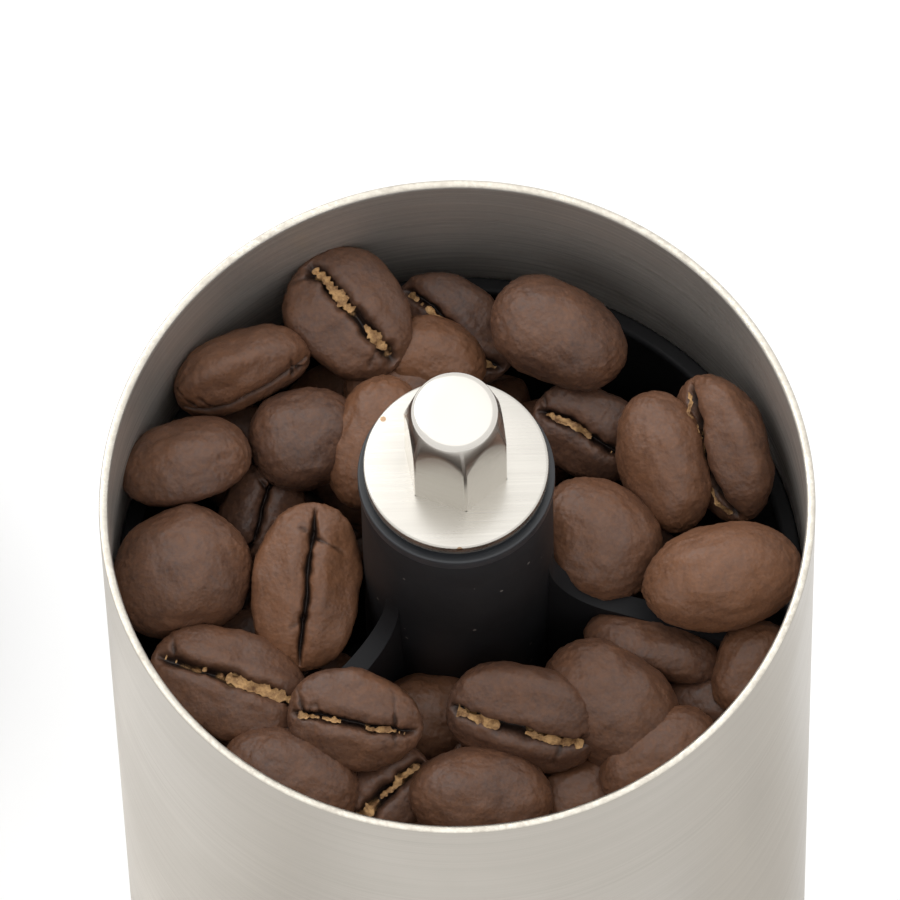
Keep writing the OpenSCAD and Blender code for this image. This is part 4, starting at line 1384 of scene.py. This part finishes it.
@dataclass
class BeanShape:
    """A bean's own shape: two halves folded over a winding crease, with wrinkles and cracks."""

    bean: Bean
    rng: random.Random
    rings: int = 108
    around: int = 96
    gather: float = 0.40

    def __post_init__(self) -> None:
        """Draws the bean's own irregularities."""
        rng, b = self.rng, self.bean
        self.a, self.b = b.length / 2, b.width / 2
        self.up, self.down = self.b * 0.44, self.b * 0.86
        self.sway = rng.uniform(-0.45, 0.45)
        self.seed = Vector((rng.uniform(0, 90), rng.uniform(0, 90), rng.uniform(0, 90)))
        self.skew = rng.uniform(-0.10, 0.10)
        self.slot = 0.15 + 0.30 * b.gape
        self.deep = 0.75 + 0.30 * b.gape
        self.splits: list[tuple[Vector, Vector]] = []
        for _ in range(b.cracks):
            side = rng.choice((-1.0, 1.0))
            start = Vector((side * self.a * rng.uniform(0.35, 0.78), rng.uniform(-0.2, 0.2)))
            way = Vector((side * rng.uniform(-0.2, 1.0), rng.choice((-1.0, 1.0)) * rng.uniform(0.5, 1.0)))
            self.splits.append((start, start + way.normalized() * rng.uniform(0.8, 2.2)))

    def winding(self, x: float) -> float:
        """Where the crease's middle runs at a place along the bean."""
        along = x / self.a
        wave = 0.16 * noise.noise(Vector((x * 0.9, 4.0, 0.0)) + self.seed)
        return self.sway * math.sin(math.pi * along) + wave

    def reach(self, x: float) -> float:
        """How far the crease still opens at a place along the bean, from 0 to 1."""
        return max(0.0, 1.0 - abs(x / self.a / 0.95) ** 7)

    def girth(self, along: float) -> float:
        """The bean's share of its full width at a place along it."""
        return max(0.0, 1.0 - abs(along) ** 2.25) ** 0.5

    def cracked(self, x: float, y: float) -> float:
        """How deep the nearest crack is at a place, from 0 to 1."""
        worst = 0.0
        here = Vector((x, y))
        for start, end in self.splits:
            span = end - start
            u = max(0.0, min(1.0, (here - start).dot(span) / span.length_squared))
            bent = 0.12 * math.sin(u * 9.0 + self.seed.x)
            gap = (here - (start + span * u)).length + bent * 0.5
            worst = max(worst, math.exp(-(gap / 0.11) ** 2) * (1.0 - 0.6 * u))
        return worst

    def surface(self, along: float, phi: float) -> tuple[Vector, float, float]:
        """One point of the bean's skin, with its painted crease shade and chaff."""
        girth = self.girth(along)
        s, c = math.sin(phi), math.cos(phi)
        x = self.a * along
        y = self.b * girth * math.copysign(abs(s) ** 0.92, s) * (1 + self.skew * along)
        z = self.up * girth * c ** 0.75 if c > 0 else -self.down * girth ** 0.9 * abs(c) ** 1.05
        crease_shade = chaff = 0.0
        if c > 0:
            off = y - self.winding(x)
            reach = self.reach(x)
            ragged = self.slot * (1.0 + 0.6 * noise.noise(Vector((x * 1.6, 0.0, 7.0)) + self.seed))
            dip = math.exp(-(off / ragged) ** 2) * reach
            lips = math.exp(-((abs(off) - 1.0) / 0.85) ** 2) * reach * girth
            z += 0.30 * lips - self.deep * dip
            # Painted shade: strongest at the crease's middle.
            crease_shade = min(1.0, dip * 1.6)
            thin = 0.5 + noise.noise(Vector((x * 1.1, 2.0, 3.0)) + self.seed)
            chaff = self.bean.chaff * thin * math.exp(-(off / (ragged * 1.1)) ** 2) * reach
            if self.splits:
                cut = self.cracked(x, y)
                z -= 0.30 * cut
                # Painted shade: cracks are darkened like the crease.
                crease_shade = max(crease_shade, cut)
        p = Vector((x, y, z))
        if p.length > 1e-6:
            bulge = 0.32 * noise.noise(p * 0.28 + self.seed) + 0.13 * noise.noise(p * 0.75 + self.seed)
            folds = Vector((p.x * 0.8, p.y * 2.6, p.z * 2.6)) + self.seed
            wrinkle = 0.075 * noise.noise(folds) + 0.040 * noise.noise(p * 3.4 + self.seed)
            p += p.normalized() * (bulge * girth + wrinkle)
        return p, crease_shade, chaff

    def skin(self) -> tuple[list[Vector], list[tuple[float, float]], list[tuple[int, ...]]]:
        """The whole skin from end to end.

        Returns:
            Its points, each point's painted crease shade and chaff, and its faces.
        """
        points, marks, faces = [], [], []
        for i in range(self.rings + 1):
            along = -math.cos(math.pi * i / self.rings)
            for k in range(self.around):
                phi = TURN * k / self.around
                phi -= self.gather * math.sin(2 * phi) * (1.0 if math.cos(phi) > 0 else 0.0)
                p, crease_shade, chaff = self.surface(along, phi)
                points.append(p)
                marks.append((crease_shade, chaff))
        for i in range(self.rings):
            low, high = i * self.around, (i + 1) * self.around
            for k in range(self.around):
                n = (k + 1) % self.around
                faces.append((low + k, low + n, high + n, high + k))
        return points, marks, faces

    def flakes(self, first: int) -> tuple[list[Vector], list[tuple[float, float]], list[tuple[int, ...]]]:
        """Thin torn chaff that stands in the crease, as strips of faces.

        Args:
            first: the number of the first new point.

        Returns:
            Its points, each point's painted crease shade and chaff, and its faces.
        """
        points, marks, faces = [], [], []
        steps, across = 90, 7
        row: Optional[int] = None
        for i in range(steps + 1):
            along = -0.84 + 1.68 * i / steps
            x = self.a * along
            torn = noise.noise(Vector((x * 0.55, 11.0, 5.0)) + self.seed)
            fray = noise.noise(Vector((x * 3.6, 1.0, 9.0)) + self.seed)
            half = self.bean.chaff * (0.20 + 0.62 * torn + 0.30 * fray)
            if half < 0.07:
                row = None
                continue
            top = self.surface(along, 0.0)[0].z
            lift = self.deep * 0.72 + 0.16
            here = first + len(points)
            for k in range(across):
                side = -1.0 + 2.0 * k / (across - 1)
                edge = 1.0 + 0.35 * noise.noise(Vector((x * 5.0, side * 4.0, 2.0)) + self.seed)
                y = self.winding(x) + side * half * edge + 0.25 * half * fray
                crumple = 0.16 * noise.noise(Vector((x * 1.9, y * 3.2, 6.0)) + self.seed)
                level = top + lift * (0.80 + 0.20 * side * side) + crumple - 0.10 * abs(side)
                points.append(Vector((x, y, level)))
                marks.append((0.0, 2.0))
            if row is not None:
                for k in range(across - 1):
                    faces.append((row + k, row + k + 1, here + k + 1, here + k))
            row = here
        return points, marks, faces


@dataclass
class BeanFill:
    """The beans that fill the hopper's top, and the ones under them that close the gaps."""

    lean: float = 24.0
    under: int = 46
    seed: int = 11

    def laid(self, bean: Bean, rim: float) -> Matrix:
        """How a bean lies: rolled about its length, turned in the plane that leans to the front."""
        at = Vector((bean.x * MM, bean.y * MM, rim - bean.depth * MM))
        return (Matrix.Translation(at) @ Matrix.Rotation(math.radians(self.lean), 4, "X")
                @ Matrix.Rotation(math.radians(bean.turn), 4, "Z")
                @ Matrix.Rotation(math.radians(-bean.tip), 4, "Y")
                @ Matrix.Rotation(math.radians(bean.roll), 4, "X") @ Matrix.Scale(MM, 4))

    def hidden(self) -> list[Bean]:
        """The beans under the shown ones, lying at random between the post and the liner."""
        rng = random.Random(self.seed)
        beans = []
        for _ in range(self.under):
            a, r = rng.uniform(0, TURN), rng.uniform(9.5, 17.0)
            beans.append(Bean(r * math.cos(a), r * math.sin(a), rng.uniform(16.5, 27.0),
                              rng.uniform(0, 360), rng.uniform(0, 360), rng.uniform(8.4, 10.0),
                              rng.uniform(6.0, 7.2), rng.choice((0.0, 0.0, 0.5)),
                              rng.uniform(-35, 35), rng.uniform(0.1, 0.8), 0.3, 1))
        return beans

    def heap(self, name: str, beans: Sequence[Bean], rim: float, rng: random.Random,
             material: Material, **fineness: int) -> None:
        """Builds one object of beans that rides on the mill."""
        verts: list[Vector] = []
        faces: list[tuple[int, ...]] = []
        marks: list[tuple[float, float, float]] = []
        for bean in beans:
            shape = BeanShape(bean, rng, **fineness)
            lay = self.laid(bean, rim)
            base = len(verts)
            points, looks, sides = shape.skin()
            if bean.chaff > 0.08 and not fineness:
                more = shape.flakes(len(points))
                points, looks, sides = points + more[0], looks + more[1], sides + more[2]
            verts += [lay @ p for p in points]
            marks += [(bean.tone, crease_shade, chaff) for crease_shade, chaff in looks]
            faces += [tuple(base + v for v in side) for side in sides]
        mesh = bpy.data.meshes.new(name)
        mesh.from_pydata(verts, [], faces)
        # Attributes per point: tone, painted crease shade and chaff.
        for i, label in enumerate(("tone", "crease_shade", "chaff")):
            values = [m[i] for m in marks]
            mesh.attributes.new(label, "FLOAT", "POINT").data.foreach_set("value", values)
        mesh.polygons.foreach_set("use_smooth", [True] * len(mesh.polygons))
        mesh.materials.append(material)
        obj = bpy.data.objects.new(name, mesh)
        bpy.context.scene.collection.objects.link(obj)
        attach(obj, "mill")

    def build(self, rim: float) -> None:
        """Builds the shown beans one by one, and the hidden ones together."""
        rng = random.Random(self.seed + 1)
        material = Roast().build()
        for i, bean in enumerate(SHOWN_BEANS):
            self.heap(f"bean_{i + 1:02d}", [bean], rim, rng, material)
        self.heap("beans_under", self.hidden(), rim, rng, material, rings=36, around=32)
        LOG.info("staged %d beans and %d under them", len(SHOWN_BEANS), self.under)


# ---------------------------------------------------------------------------------------------
# The studio
# ---------------------------------------------------------------------------------------------


@dataclass
class Studio:
    """The camera, the pale floor and the soft light."""

    rim: Vector
    elevation: float = 65.79
    distance: float = 0.9172
    lens: float = 559.68
    roll: float = -1.66
    aim_right: float = -0.0004
    aim_up: float = 0.0038

    def camera(self) -> None:
        """Sets the camera above the front of the rim, with a long lens."""
        e = math.radians(self.elevation)
        back = Vector((0.0, -math.cos(e), math.sin(e)))
        right = Vector((1.0, 0.0, 0.0))
        ahead = -back
        up = right.cross(ahead)
        ahead = (ahead + right * self.aim_right + up * self.aim_up).normalized()
        right = ahead.cross(Vector((0.0, 0.0, 1.0))).normalized()
        up = right.cross(ahead)
        c, s = math.cos(math.radians(self.roll)), math.sin(math.radians(self.roll))
        across, upright = right * c + up * s, up * c - right * s
        data = bpy.data.cameras.new("camera")
        data.lens = self.lens
        data.sensor_width = 36.0
        data.clip_start, data.clip_end = 0.05, 50.0
        obj = bpy.data.objects.new("camera", data)
        turn = Matrix((across, upright, -ahead)).transposed().to_4x4()
        obj.matrix_world = Matrix.Translation(self.rim + back * self.distance) @ turn
        bpy.context.scene.collection.objects.link(obj)
        bpy.context.scene.camera = obj

    def floor(self) -> None:
        """Lays a plain pale floor."""
        bm = bmesh.new()
        bmesh.ops.create_grid(bm, x_segments=4, y_segments=4, size=6.0)
        obj = loose("floor", bm)
        material, tree, shader = new_material("pale_floor")
        patch = use_group(tree, GROUPS.handling, Size=6.0)
        colour = tree.mixed(patch.outputs["Mask"], (0.90, 0.90, 0.90), (0.915, 0.912, 0.908))
        tree.link(colour, shader.inputs["Base Color"])
        shader.inputs["Roughness"].default_value = 0.7
        shader.inputs["Specular IOR Level"].default_value = 0.2
        obj.data.materials.append(material)

    def lamp(self, name: str, at: Vector, size: float, power: float, colour: Colour = (1, 1, 1)) -> None:
        """Hangs one soft square lamp, aimed at the grinder's rim."""
        data = bpy.data.lights.new(name, "AREA")
        data.shape = "SQUARE"
        data.size = size
        data.energy = power
        data.color = colour
        obj = bpy.data.objects.new(name, data)
        obj.location = at
        obj.rotation_mode = "QUATERNION"
        obj.rotation_quaternion = (self.rim - at).to_track_quat("-Z", "Y")
        obj.visible_camera = False
        bpy.context.scene.collection.objects.link(obj)

    def light(self) -> None:
        """Lights the scene with a bright even surround and two soft lamps, behind and above."""
        self.lamp("back_lamp", Vector((-0.55, 0.65, 1.05)), 0.8, 4.0)
        self.lamp("top_lamp", Vector((0.10, 0.15, 1.5)), 1.0, 1.6)
        world = bpy.data.worlds.new("surround")
        world.use_nodes = True
        tree = Tree(world.node_tree)
        shade = world.node_tree.nodes["Background"]
        shade.inputs["Color"].default_value = (1.0, 1.0, 1.0, 1.0)
        path = tree.add("ShaderNodeLightPath").outputs["Is Camera Ray"]
        strength = tree.ranged(path, 0.0, 1.0, 1.12, 1.0)
        tree.link(strength, shade.inputs["Strength"])
        bpy.context.scene.world = world
        bpy.context.scene.view_settings.view_transform = "Standard"

    def build(self) -> None:
        """Builds the studio."""
        self.camera()
        self.floor()
        self.light()


def main() -> None:
    """Builds the sub-assemblies in order, then the beans and the studio."""
    logging.basicConfig(level=logging.INFO, format="%(name)s: %(message)s")
    rim = size_of("upper_shell")[1].z
    Studio(Vector((0.0, 0.0, rim))).build()
    finishes = Finishes()
    for assembly in (Canister, Hopper, Drive, BurrSet, Lid, Crank):
        LOG.info("building %s", assembly.__name__)
        assembly(finishes).build()
    BeanFill().build(rim)


if __name__ == "__main__":
    main()
